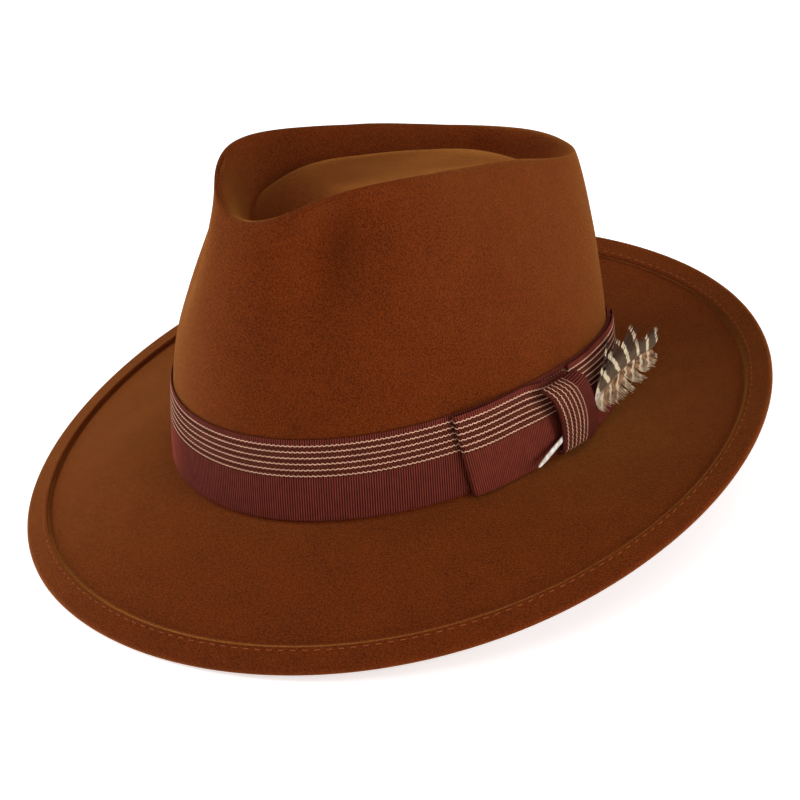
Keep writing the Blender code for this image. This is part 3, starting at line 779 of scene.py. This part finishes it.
ROOTS = np.array([12.4, 18.0, 26.0, 34.0, 44.0, 52.0, 58.5]) * MM
upper_vane = make_vane("feather_barbs_upper", 1.0, ROOTS, np.array([25, 25, 21, 16, 12.5, 12.5, 9]) * MM,
                       [60, 57, 52, 47, 44, 42, 34], [38, 30, 27, 25, 27, 58, 75],
                       "feather_vane_upper", "barred_barbs", 7)
lower_vane = make_vane("feather_barbs_lower", -1.0, ROOTS, np.array([9.5, 14, 17.5, 18, 17, 15, 9]) * MM,
                       [88, 80, 72, 66, 60, 54, 38], [50, 42, 30, 22, 18, 12, 8],
                       "feather_vane_lower", "mottled_barbs", 11)
print("blade faces:", len(upper_vane.data.polygons) + len(lower_vane.data.polygons))

# %% [markdown]
# ## Inside the hat
#
# A leather sweatband sits in the opening, sewn to the felt over a reed that keeps its edge
# firm. Above it hangs a satin lining: a side strip gathered to a domed tip, with a twisted cord
# on the seam.

# %% Sweatband
LINING = 0.4 * MM
LINING_EASE = 0.5 * MM
LINING_SLACK = 1.3 * MM
LINING_BOTTOM = 8.0 * MM
LINING_TOP = CROWN_HEIGHT - 48.0 * MM
LINING_CROWN = 7.0 * MM
SWEATBAND_WIDTH = 38.0 * MM
LEATHER = 1.0 * MM
REED_RADIUS = 1.0 * MM
LEATHER_IN = FELT + LINING_EASE + LINING + GAP


def run_round(grid):
    """Distance round the hat along the first row, closed."""
    row = np.vstack([grid[0], grid[0][:1]])
    return np.concatenate([[0.0], np.cumsum(np.linalg.norm(np.diff(row, axis=0), axis=1))])


def make_sweatband():
    heights = np.concatenate([[0.0, 0.4, 1.2], np.linspace(3.0, 36.0, 12), [37.2, 37.8, 38.0]]) * MM
    grid = [wall_at(TURNS, h, -LEATHER_IN - 0.15 * MM * math.sin(h * 90.0)) for h in heights]
    band = surface("leather_sweatband", grid, around=True, along=run_round(grid), across=heights[:, None])
    thicken(band, LEATHER * 0.9)
    place(band, "hat", "sweatband_leather", "sweatband")
    seam = TURNS[::3]
    line = wall_at(seam, 0.0, -LEATHER_IN - REED_RADIUS)
    line[:, 2] -= REED_RADIUS + GAP
    reed = tube("sweatband_edge_reed", [line], REED_RADIUS, closed=True, sides=3)
    place(reed, "hat", "sweatband_leather", "sweatband_reed")
    out = -LEATHER_IN - LEATHER - 0.28 * MM
    lines = []
    for k in range(150):
        near = (k + np.linspace(-0.32, 0.32, 5)) / 150.0 * 2.0 * math.pi
        lines.append(wall_at(near, 3.0 * MM, out + np.array([0.3, 0.05, 0.0, 0.05, 0.3]) * MM))
    stitches = tube("sweatband_stitches", lines, 0.24 * MM)
    place(stitches, "hat", "sweatband_thread", "sweatband_stitching")
    return band, reed, stitches


sweatband, reed, sweatband_stitches = make_sweatband()
print("faces in the sweatband's stitches:", len(sweatband_stitches.data.polygons))

# %% Lining
PLEATS = 64


def lining_inset(height):
    above = np.clip(height - SWEATBAND_WIDTH, 0.0, None) / (LINING_TOP - SWEATBAND_WIDTH)
    return FELT + LINING_EASE + LINING_SLACK * np.sqrt(above)


def make_lining():
    heights = np.concatenate([np.linspace(LINING_BOTTOM, SWEATBAND_WIDTH, 5),
                              np.linspace(SWEATBAND_WIDTH, LINING_TOP, 14)[1:]])
    grid = []
    for h in heights:
        loose = float(smooth_step((h - SWEATBAND_WIDTH) / (8.0 * MM)))
        pleat = 0.35 * MM * loose * (np.cos(TURNS * PLEATS + 1.4 * np.sin(TURNS * 5.0)) - 1.0)
        grid.append(wall_at(TURNS, h, pleat - lining_inset(h)))
    side = surface("satin_side", grid, around=True, along=run_round(grid), across=heights[:, None])
    thicken(side, LINING * 0.9)
    place(side, "hat", "lining_cloth", "lining_side")

    inset = lining_inset(LINING_TOP)
    edge = wall_at(TURNS, LINING_TOP + LINING + GAP, -inset)
    rows = []
    for out in np.linspace(1.0, 0.06, 22):
        ring = edge * np.array([out, out, 1.0])
        ring[:, 2] += LINING_CROWN * (1.0 - out * out)
        ring[:, 2] += 0.25 * MM * math.sin(math.pi * out) * np.cos(TURNS * 11.0) * out
        rows.append(ring)
    peak = (0.0, 0.0, float(edge[:, 2].mean()) + LINING_CROWN)
    tip = surface("satin_tip", rows, around=True, last=peak)
    thicken(tip, LINING * 0.9)
    place(tip, "hat", "lining_cloth", "lining_tip")

    line = wall_at(TURNS, LINING_TOP - 0.7 * MM, -inset - LINING - GAP - 0.7 * MM)
    piping = tube("seam_piping", [line], 0.65 * MM, closed=True, sides=2)
    place(piping, "hat", "piping", "lining_piping")
    return side, tip, piping


satin_side, satin_tip, piping = make_lining()
print("pleats in the side strip:", PLEATS)

# %% [markdown]
# ## Small trims
#
# A blank cloth tag hangs from the lining over the leather, a tiny flat bow covers the
# sweatband's seam at the back, and one short tack stitch holds the bow's front fold.

# %% Tag, trim bow and tack
TAG_WIDTH = 15.0 * MM
TAG_HEIGHT = 22.0 * MM
TAG_PLACE = math.pi - 0.42
TRIM_HALF = 11.0 * MM
TRIM_TALL = 4.0 * MM


def make_tag():
    spread = TAG_WIDTH / (HEAD_HALF_LENGTH - FELT)
    angles = np.linspace(TAG_PLACE - spread, TAG_PLACE, 16)
    shares = np.linspace(0.0, 0.95, 20)
    out = -LEATHER_IN - LEATHER - 2.0 * GAP
    rows = [wall_at(angles, SWEATBAND_WIDTH - TAG_HEIGHT * (1.0 - t),
                    out - 0.9 * MM * (1.0 - t) ** 2 + 0.15 * MM * np.cos(np.linspace(0, 5, 16) + 3.0 * t))
            for t in shares]
    tag = surface("size_cloth_tag", rows, along=np.linspace(0, TAG_WIDTH, 16),
                  across=(shares * TAG_HEIGHT)[:, None])
    thicken(tag, LINING * 0.7)
    return place(tag, "hat", "tag_cloth", "size_tag")


def make_trim_bow():
    """Two small loops and a wrap, flat against the leather at the back."""
    seat = wall_at(math.pi, 12.0 * MM, -LEATHER_IN - LEATHER - 1.3 * MM)
    t = np.linspace(0.0, 2.0 * math.pi, 49)
    x = TRIM_HALF * np.sin(t) * (0.55 + 0.45 * np.abs(np.sin(t)))
    y = seat[1] - 0.5 * MM - 0.55 * MM * np.sin(2.0 * t)
    rows = []
    for share in np.linspace(-1.0, 1.0, 9):
        tall = TRIM_TALL * share * (0.45 + 0.55 * np.abs(np.sin(t)) ** 0.7)
        rows.append(np.stack([x, y, seat[2] + tall], -1))
    bow = surface("trim_bow", rows, along=np.linspace(0.0, 4.0 * TRIM_HALF, 49),
                  across=np.linspace(0.0, 2.0 * TRIM_TALL, 9)[:, None])
    thicken(bow, 0.25 * MM, 0.0)
    return place(bow, "hat", "grosgrain", "sweatband_bow")


def make_tack():
    lines = []
    for k in range(2):
        x = BOW_CENTRE - BOW_HALF_LENGTH - FOLD_LEAN + (6.0 + 0.5 * k) * MM
        heights = (4.0 + 0.4 * k + 2.2 * np.linspace(0.0, 1.0, 7)) * MM
        bump = np.array([-0.3, 0.1, 0.22, 0.28, 0.22, 0.1, -0.3]) * MM
        out = GAP + BAND + GAP + BOW_RIBBON + BOW_FOLD + 0.25 * MM + bump
        lines.append(wall_at(band_angle(x + np.linspace(-1, 1, 7) * 0.4 * MM), heights, out))
    return place(tube("bow_tack", lines, 0.2 * MM), "hat", "dark_thread", "bow_tack_stitch")


tag, trim_bow, tack = make_tag(), make_trim_bow(), make_tack()
print("trims:", tag.name, trim_bow.name, tack.name)

# %% [markdown]
# ## Node helpers and shared effects
#
# Every finish is a small tree of nodes. Two effects are used by more than one material, so
# each is a node group with its own inputs: a mottle, which is the uneven take of dye or tan,
# and a twist, which is the slanting ply of a thread or cord, with a painted highlight on its
# ridges and painted shade in its hollows. The groups give colours and heights; the shader
# itself stays in each material.

# %% Node helpers


def colour(red, green, blue):
    """A display colour (0 to 255) as the linear values a shader needs."""
    linear = [((c / 255.0 + 0.055) / 1.055) ** 2.4 if c > 10 else c / 3294.6 for c in (red, green, blue)]
    return (*linear, 1.0)


def add(tree, kind, inputs=(), **settings):
    """A new node with its settings and the values or links of its inputs."""
    node = tree.nodes.new(kind)
    for key, value in settings.items():
        setattr(node, key, value)
    for key, value in dict(inputs).items():
        if isinstance(value, bpy.types.NodeSocket):
            tree.links.new(value, node.inputs[key])
        else:
            node.inputs[key].default_value = value
    return node


def object_place(tree):
    """Where a point lies on the hat, in metres."""
    return add(tree, 'ShaderNodeTexCoord').outputs["Object"]


def cloth_place(tree):
    """Distances along and across the cloth, in metres."""
    uv_map = add(tree, 'ShaderNodeUVMap', uv_map="cloth").outputs[0]
    return add(tree, 'ShaderNodeSeparateXYZ', {0: uv_map}).outputs


def clouds_of(tree, scale, detail, **more):
    """Soft noise fixed to the hat; a bigger scale is finer."""
    inputs = {"Vector": object_place(tree), "Scale": scale, "Detail": detail, **more}
    return add(tree, 'ShaderNodeTexNoise', inputs).outputs[0]


def calc(tree, operation, *values):
    return add(tree, 'ShaderNodeMath', dict(enumerate(values)), operation=operation).outputs[0]


def mix(tree, factor, first, second):
    return add(tree, 'ShaderNodeMix', {0: factor, 6: first, 7: second}, data_type='RGBA').outputs[2]


def limits(tree, value, low, high, to_low=0.0, to_high=1.0):
    """Maps low..high to to_low..to_high smoothly."""
    node = add(tree, 'ShaderNodeMapRange', {0: value, 1: low, 2: high, 3: to_low, 4: to_high},
               interpolation_type='SMOOTHSTEP')
    return node.outputs[0]


def new_group(name, inputs, outputs):
    """An empty shader group with float and colour sockets; returns it with its two ends."""
    tree = bpy.data.node_groups.new(name, 'ShaderNodeTree')
    for label, default in inputs:
        kind = 'NodeSocketColor' if isinstance(default, tuple) else 'NodeSocketFloat'
        tree.interface.new_socket(name=label, in_out='INPUT', socket_type=kind).default_value = default
    for label, kind in outputs:
        tree.interface.new_socket(name=label, in_out='OUTPUT', socket_type=kind)
    return tree, tree.nodes.new('NodeGroupInput').outputs, tree.nodes.new('NodeGroupOutput').inputs


def use(tree, group, inputs):
    node = add(tree, 'ShaderNodeGroup')
    node.node_tree = group
    for key, value in inputs.items():
        if isinstance(value, bpy.types.NodeSocket):
            tree.links.new(value, node.inputs[key])
        else:
            node.inputs[key].default_value = value
    return node.outputs


def new_material(name, **constants):
    """A material with a Principled shader; constants go straight on its own sockets."""
    material = bpy.data.materials.new(name)
    material.use_nodes = True
    tree = material.node_tree
    shader = tree.nodes["Principled BSDF"]
    for key, value in constants.items():
        shader.inputs[key.replace("_", " ")].default_value = value
    return material, tree, shader


def bump(tree, shader, height, distance, strength=1.0):
    node = add(tree, 'ShaderNodeBump', {"Height": height, "Distance": distance, "Strength": strength})
    tree.links.new(node.outputs[0], shader.inputs["Normal"])


def paint(material, *pieces):
    for piece in pieces:
        piece.data.materials.clear()
        piece.data.materials.append(material)


print("node helpers ready")

# %% Shared effects


def make_mottle():
    """Uneven colour: broad clouds and fine specks, and a height that follows the specks."""
    inputs = [("Light", (0.5, 0.5, 0.5, 1.0)), ("Dark", (0.2, 0.2, 0.2, 1.0)),
              ("Cloud Scale", 40.0), ("Speck Scale", 900.0), ("Speck Share", 0.5)]
    outputs = [("Color", 'NodeSocketColor'), ("Height", 'NodeSocketFloat'), ("Mask", 'NodeSocketFloat')]
    tree, source, out = new_group("mottle", inputs, outputs)
    clouds = clouds_of(tree, source["Cloud Scale"], 3.0)
    specks = clouds_of(tree, source["Speck Scale"], 4.0, Roughness=0.7)
    cloud_mask = limits(tree, clouds, 0.3, 0.7)
    speck_mask = limits(tree, specks, 0.32, 0.68)
    blend = add(tree, 'ShaderNodeMix', {0: source["Speck Share"], 2: cloud_mask, 3: speck_mask}).outputs[0]
    tree.links.new(mix(tree, blend, source["Dark"], source["Light"]), out["Color"])
    tree.links.new(specks, out["Height"])
    tree.links.new(cloud_mask, out["Mask"])
    return tree


def make_twist():
    """The slanting ply of a thread, from one fixed slant through the hat's own coordinates."""
    inputs = [("Pitch", 0.001), ("Light", (0.5, 0.5, 0.5, 1.0)), ("Dark", (0.2, 0.2, 0.2, 1.0))]
    outputs = [("Color", 'NodeSocketColor'), ("Height", 'NodeSocketFloat')]
    tree, source, out = new_group("twist", inputs, outputs)
    parts = add(tree, 'ShaderNodeSeparateXYZ', {0: object_place(tree)}).outputs
    slant = calc(tree, 'ADD', calc(tree, 'ADD', parts[0], parts[1]), calc(tree, 'MULTIPLY', parts[2], 1.3))
    wave = calc(tree, 'SINE', calc(tree, 'DIVIDE', calc(tree, 'MULTIPLY', slant, 6.2832), source["Pitch"]))
    ridge = calc(tree, 'MULTIPLY_ADD', wave, 0.5, 0.5)
    # Colour follows the ply's height: painted highlight on the ridges, painted shade in the hollows.
    tree.links.new(mix(tree, ridge, source["Dark"], source["Light"]), out["Color"])
    tree.links.new(ridge, out["Height"])
    return tree


MOTTLE, TWIST = make_mottle(), make_twist()
print("shared effects:", MOTTLE.name, TWIST.name)

# %% [markdown]
# ## Felt finish
#
# Fur felt is short fibres locked at every angle. Up close it is mottled, it never shines, and
# its nap catches light where the surface turns away, which the shader's sheen gives.

# %% Felt finish
FELT_LIGHT = colour(115, 49, 15)
FELT_DARK = colour(68, 25, 7)


def make_felt_finish():
    material, tree, shader = new_material("brushed_fur_felt", Roughness=0.9, Sheen_Weight=0.85,
                                          Sheen_Roughness=0.34, Sheen_Tint=colour(228, 152, 70),
                                          Specular_IOR_Level=0.04)
    nap = use(tree, MOTTLE, {"Light": FELT_LIGHT, "Dark": FELT_DARK, "Cloud Scale": 60.0,
                             "Speck Scale": 1500.0, "Speck Share": 0.9})
    tree.links.new(nap["Color"], shader.inputs["Base Color"])
    fibres = clouds_of(tree, 1900.0, 2.0, Distortion=1.6)
    height = calc(tree, 'ADD', calc(tree, 'MULTIPLY', nap["Height"], 0.7), fibres)
    tree.links.new(limits(tree, fibres, 0.3, 0.7, 0.82, 0.98), shader.inputs["Roughness"])
    bump(tree, shader, height, 0.24 * MM, 0.9)
    return material


felt_finish = make_felt_finish()
paint(felt_finish, felt)
print("felt finish on", felt.name)

# %% [markdown]
# ## Ribbon finish
#
# The pattern is woven in, so it is worked out from the cloth's own lengths. Six pale floats
# run along the upper part of the ribbon, each stepping up and down from rib to rib. Between
# them the ground is a fine check, and below them it is plain ribs, with a painted highlight on
# their crests and painted shade in their grooves.

# %% Ribbon finish
STRIPE_PITCH = 2.5 * MM
STRIPE_HALF = 0.21 * MM
STRIPES = 6
YARN_PITCH = 0.33 * MM
# The crest colour is a painted highlight and the groove colour is painted shade on the ribs.
LIT_RIB_CREST = colour(124, 52, 38)
SHADED_RIB_GROOVE = colour(24, 6, 5)
FLOAT_YARN = colour(240, 190, 160)
CHECK_LIGHT = colour(108, 48, 30)
CHECK_DARK = colour(32, 8, 6)


def make_ribbon_finish():
    material, tree, shader = new_material("striped_grosgrain", Roughness=0.7, Sheen_Weight=0.05,
                                          Sheen_Roughness=0.35, Sheen_Tint=colour(214, 110, 80),
                                          Specular_IOR_Level=0.07)
    along, up = cloth_place(tree)[:2]
    phase = calc(tree, 'DIVIDE', along, RIB_PITCH)
    wave = calc(tree, 'COSINE', calc(tree, 'MULTIPLY', phase, 2.0 * math.pi))
    crest = calc(tree, 'MULTIPLY_ADD', wave, 0.5, 0.5)
    # Plain ribs: lighter on the crests and darker in the grooves, as painted light and shade.
    plain = mix(tree, crest, SHADED_RIB_GROOVE, LIT_RIB_CREST)

    step = calc(tree, 'SINE', calc(tree, 'MULTIPLY', phase, math.pi))
    down = calc(tree, 'SUBTRACT', RIBBON_WIDTH, calc(tree, 'MULTIPLY_ADD', step, 0.20 * MM, up))
    row = calc(tree, 'DIVIDE', down, STRIPE_PITCH)
    nearest = calc(tree, 'FRACT', calc(tree, 'ADD', row, 0.5))
    near = calc(tree, 'ABSOLUTE', calc(tree, 'SUBTRACT', nearest, 0.5))
    on_row = limits(tree, near, STRIPE_HALF / STRIPE_PITCH * 1.25, STRIPE_HALF / STRIPE_PITCH * 0.75)
    inside = calc(tree, 'MULTIPLY', calc(tree, 'GREATER_THAN', row, 0.5),
                  calc(tree, 'LESS_THAN', row, STRIPES + 0.4))
    pale = calc(tree, 'MULTIPLY', on_row, inside)
    # The pale floats are dimmed in the rib grooves too: painted shade following the crest wave.
    pale = calc(tree, 'MULTIPLY', pale, calc(tree, 'MULTIPLY_ADD', crest, 0.30, 0.70))

    check_u = calc(tree, 'GREATER_THAN', calc(tree, 'FRACT', phase), 0.5)
    check_v = calc(tree, 'GREATER_THAN', calc(tree, 'FRACT', calc(tree, 'MULTIPLY', row, 1.5)), 0.5)
    odd = calc(tree, 'ABSOLUTE', calc(tree, 'SUBTRACT', check_u, check_v))
    checked = mix(tree, odd, CHECK_DARK, CHECK_LIGHT)
    striped = calc(tree, 'MULTIPLY', inside, calc(tree, 'GREATER_THAN', row, 0.85))
    ground = mix(tree, striped, plain, checked)
    wear = limits(tree, clouds_of(tree, 300.0, 2.0), 0.3, 0.7, 0.9, 1.1)
    woven = mix(tree, pale, ground, FLOAT_YARN)
    worn = add(tree, 'ShaderNodeHueSaturation', {"Value": wear, "Color": woven})
    tree.links.new(worn.outputs[0], shader.inputs["Base Color"])
    yarn = calc(tree, 'COSINE', calc(tree, 'MULTIPLY', calc(tree, 'DIVIDE', up, YARN_PITCH), 2.0 * math.pi))
    ribs = calc(tree, 'MULTIPLY_ADD', yarn, 0.2, crest)
    height = calc(tree, 'ADD', calc(tree, 'MULTIPLY', pale, 1.2), ribs)
    bump(tree, shader, height, 0.09 * MM, 0.9)
    return material


ribbon_finish = make_ribbon_finish()
paint(ribbon_finish, hat_band, front_loop, rear_loop, bow_strip, trim_bow)
print("ribbon finish on the band, the bow and its strip")

# %% [markdown]
# ## Feather finishes
#
# The upper vane is dark with pale bars that lean back across the barbs. The lower vane is
# mottled tan with thin pale lines that wander. Both come from where a barb grows and how far
# out the point lies. The quill is pale keratin and browns towards the tip.

# %% Feather finishes
BAR_PITCH = 7.7 * MM
BAR_LEAN = 0.92
BAR_START = 16.5 * MM
LINE_PITCH = 6.2 * MM
BARB_SHADE = colour(98, 76, 54)
BARB_DEEP = colour(50, 34, 20)
BARB_CREAM = colour(236, 216, 180)
BARB_TAN = colour(170, 126, 88)
BARB_BROWN = colour(92, 58, 36)


def barb_places(tree):
    """Where the barb grows, how far out a point is, and wavering noise over both."""
    uv_map = add(tree, 'ShaderNodeUVMap', uv_map="cloth").outputs[0]
    waver = add(tree, 'ShaderNodeTexNoise', {"Vector": uv_map, "Scale": 330.0, "Detail": 2.0})
    root, out = cloth_place(tree)[:2]
    return root, out, calc(tree, 'SUBTRACT', waver.outputs[0], 0.5)


def hairs(tree, shader, smooth, rough):
    """Fine hairs along every barb, in roughness and in relief."""
    fine = clouds_of(tree, 2500.0, 1.0)
    tree.links.new(limits(tree, fine, 0.3, 0.7, smooth, rough), shader.inputs["Roughness"])
    bump(tree, shader, fine, 0.06 * MM)


def make_barred():
    material, tree, shader = new_material("barred_vane", Roughness=0.6, Sheen_Weight=0.08,
                                          Sheen_Roughness=0.4, Specular_IOR_Level=0.2)
    root, out, waver = barb_places(tree)
    place_of = calc(tree, 'MULTIPLY_ADD', out, BAR_LEAN, calc(tree, 'SUBTRACT', root, BAR_START))
    place_of = calc(tree, 'MULTIPLY_ADD', waver, 2.2 * MM, place_of)
    bar = calc(tree, 'FRACT', calc(tree, 'DIVIDE', place_of, BAR_PITCH))
    middle = calc(tree, 'ABSOLUTE', calc(tree, 'SUBTRACT', bar, 0.5))
    pale = limits(tree, middle, 0.33, 0.40)
    foot = calc(tree, 'MULTIPLY', limits(tree, root, 14.5 * MM, 13.0 * MM),
                limits(tree, out, 8.0 * MM, 3.0 * MM))
    dark = mix(tree, limits(tree, out, 5.0 * MM, 13.0 * MM), BARB_SHADE, BARB_DEEP)
    tone = mix(tree, calc(tree, 'MAXIMUM', pale, foot), dark, BARB_CREAM)
    tree.links.new(tone, shader.inputs["Base Color"])
    hairs(tree, shader, 0.5, 0.75)
    return material


def make_mottled():
    material, tree, shader = new_material("mottled_vane", Roughness=0.65, Sheen_Weight=0.08,
                                          Sheen_Roughness=0.4, Specular_IOR_Level=0.2)
    root, out, waver = barb_places(tree)
    place_of = calc(tree, 'MULTIPLY_ADD', out, 0.75, root)
    place_of = calc(tree, 'MULTIPLY_ADD', waver, 5.0 * MM, place_of)
    turn = calc(tree, 'FRACT', calc(tree, 'DIVIDE', place_of, LINE_PITCH))
    line = calc(tree, 'ABSOLUTE', calc(tree, 'SUBTRACT', turn, 0.5))
    pale = limits(tree, line, 0.30, 0.42)
    far = limits(tree, out, 4.0 * MM, 13.0 * MM)
    fluff = calc(tree, 'MAXIMUM', far, limits(tree, root, 19.0 * MM, 14.0 * MM))
    ground = mix(tree, limits(tree, waver, -0.12, 0.12), BARB_BROWN, BARB_TAN)
    ground = mix(tree, calc(tree, 'MULTIPLY', fluff, 0.4), ground, BARB_CREAM)
    tone = mix(tree, calc(tree, 'MULTIPLY', pale, 0.85), ground, BARB_CREAM)
    tree.links.new(tone, shader.inputs["Base Color"])
    hairs(tree, shader, 0.55, 0.8)
    return material


def make_keratin():
    material, tree, shader = new_material("quill_keratin", Roughness=0.35, Specular_IOR_Level=0.5,
                                          Subsurface_Weight=0.1, Subsurface_Scale=0.002)
    browned = limits(tree, cloth_place(tree)[1], 34.0 * MM, 52.0 * MM)
    streak = clouds_of(tree, 500.0, 2.0)
    pale = mix(tree, limits(tree, streak, 0.35, 0.65), colour(206, 196, 178), colour(246, 243, 236))
    tree.links.new(mix(tree, browned, pale, colour(112, 82, 58)), shader.inputs["Base Color"])
    bump(tree, shader, streak, 0.05 * MM)
    return material


paint(make_barred(), upper_vane)
paint(make_mottled(), lower_vane)
paint(make_keratin(), stem)
print("feather finishes:", [p.data.materials[0].name for p in (upper_vane, lower_vane, stem)])

# %% [markdown]
# ## Thread, cord, leather, satin and tag
#
# The last finishes are quieter. Threads share the twist, leather and cloth share the mottle,
# and satin gets its long soft highlight from a sheen and a fine weave.

# %% Thread and cord finishes


def make_thread(name, light, dark, pitch):
    material, tree, shader = new_material(name, Roughness=0.7, Specular_IOR_Level=0.12)
    ply = use(tree, TWIST, {"Pitch": pitch, "Light": light, "Dark": dark})
    tree.links.new(ply["Color"], shader.inputs["Base Color"])
    tree.links.new(limits(tree, ply["Height"], 0.0, 1.0, 0.8, 0.6), shader.inputs["Roughness"])
    bump(tree, shader, ply["Height"], 0.12 * pitch)
    return material


# For each thread, the first colour is the painted highlight on its ply ridges and the second is painted
# shade in its hollows.
threads = [("welt_thread", colour(176, 96, 48), colour(120, 58, 24), 0.7 * MM, welt_stitches),
           ("tack_thread", colour(92, 34, 34), colour(48, 14, 14), 0.6 * MM, tack),
           ("leather_thread", colour(196, 160, 112), colour(130, 96, 60), 0.7 * MM, sweatband_stitches),
           ("gold_cord", colour(206, 160, 84), colour(128, 84, 34), 1.4 * MM, piping)]
for name, light, dark, pitch, piece in threads:
    paint(make_thread(name, light, dark, pitch), piece)
print("threads painted")

# %% Leather, satin and tag finishes


def make_leather():
    material, tree, shader = new_material("roan_leather", Roughness=0.45, Specular_IOR_Level=0.45)
    tone = use(tree, MOTTLE, {"Light": colour(120, 74, 46), "Dark": colour(82, 46, 28), "Cloud Scale": 45.0,
                              "Speck Scale": 380.0, "Speck Share": 0.35})
    tree.links.new(tone["Color"], shader.inputs["Base Color"])
    grain = add(tree, 'ShaderNodeTexVoronoi', {"Vector": object_place(tree), "Scale": 1100.0})
    tree.links.new(limits(tree, tone["Mask"], 0.0, 1.0, 0.38, 0.55), shader.inputs["Roughness"])
    bump(tree, shader, grain.outputs[0], 0.12 * MM, 0.7)
    return material


def make_satin():
    material, tree, shader = new_material("lining_satin", Roughness=0.32, Sheen_Weight=0.3,
                                          Sheen_Roughness=0.3, Specular_IOR_Level=0.55)
    tone = use(tree, MOTTLE, {"Light": colour(112, 44, 40), "Dark": colour(84, 28, 28), "Cloud Scale": 30.0,
                              "Speck Scale": 1400.0, "Speck Share": 0.4})
    tree.links.new(tone["Color"], shader.inputs["Base Color"])
    threads_at = {"Vector": object_place(tree), "Scale": 700.0, "Distortion": 0.5}
    weave = add(tree, 'ShaderNodeTexWave', threads_at, bands_direction='DIAGONAL')
    tree.links.new(limits(tree, weave.outputs["Fac"], 0.0, 1.0, 0.28, 0.40), shader.inputs["Roughness"])
    bump(tree, shader, weave.outputs["Fac"], 0.03 * MM, 0.6)
    return material


def make_tag_cloth():
    material, tree, shader = new_material("woven_tape", Roughness=0.8, Specular_IOR_Level=0.25)
    tone = use(tree, MOTTLE, {"Light": colour(238, 234, 222), "Dark": colour(206, 200, 184),
                              "Cloud Scale": 90.0, "Speck Scale": 1500.0, "Speck Share": 0.6})
    tree.links.new(tone["Color"], shader.inputs["Base Color"])
    bump(tree, shader, tone["Height"], 0.08 * MM)
    return material


paint(make_leather(), sweatband, reed)
paint(make_satin(), satin_side, satin_tip)
paint(make_tag_cloth(), tag)
print("inside finishes done")

# %% [markdown]
# ## Floor and light
#
# A white floor, lit through from below, carries the hat on the lowest points of its brim, so
# hardly any shadow is left. Large soft lights stand at the front left, overhead and at the
# right, as in a shop's light tent, and the world fills in.

# %% Floor and light
FLOOR_HALF = 20.0
FLOOR_CLEAR = 0.1 * MM
FLOOR_GLOW = 0.62
WORLD_FILL = 0.30


def make_floor():
    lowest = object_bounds()[0][2]
    bpy.ops.mesh.primitive_plane_add(size=2.0 * FLOOR_HALF, location=(0.0, 0.0, lowest - FLOOR_CLEAR))
    floor = bpy.context.object
    floor.name = "floor"
    material, _, shader = new_material("pale_floor", Roughness=0.9, Specular_IOR_Level=0.1)
    shader.inputs["Base Color"].default_value = (0.93, 0.93, 0.93, 1.0)
    shader.inputs["Emission Color"].default_value = (1.0, 1.0, 1.0, 1.0)
    shader.inputs["Emission Strength"].default_value = FLOOR_GLOW
    paint(material, floor)
    floor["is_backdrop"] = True
    return floor


def soft_light(name, azimuth, height_angle, distance, size, power):
    """A square area light that faces the crown from this direction."""
    a, e = math.radians(azimuth), math.radians(height_angle)
    away = Vector((math.sin(a) * math.cos(e), -math.cos(a) * math.cos(e), math.sin(e)))
    light = bpy.data.lights.new(name, 'AREA')
    light.size, light.energy = size, power
    lamp = bpy.data.objects.new(name, light)
    lamp.location = away * distance
    lamp.rotation_euler = away.to_track_quat('Z', 'Y').to_euler()
    bpy.context.scene.collection.objects.link(lamp)
    return lamp


floor = make_floor()
soft_light("left_box", -52.0, 16.0, 1.5, 1.0, 18.0)
soft_light("overhead", 60.0, 72.0, 1.4, 1.2, 6.0)
soft_light("right_box", 105.0, 16.0, 1.6, 1.0, 15.0)
world = bpy.data.worlds.new("studio")
world.use_nodes = True
world.node_tree.nodes["Background"].inputs[0].default_value = (1.0, 1.0, 1.0, 1.0)
world.node_tree.nodes["Background"].inputs[1].default_value = WORLD_FILL
bpy.context.scene.world = world
bpy.context.scene.view_settings.view_transform = 'Standard'
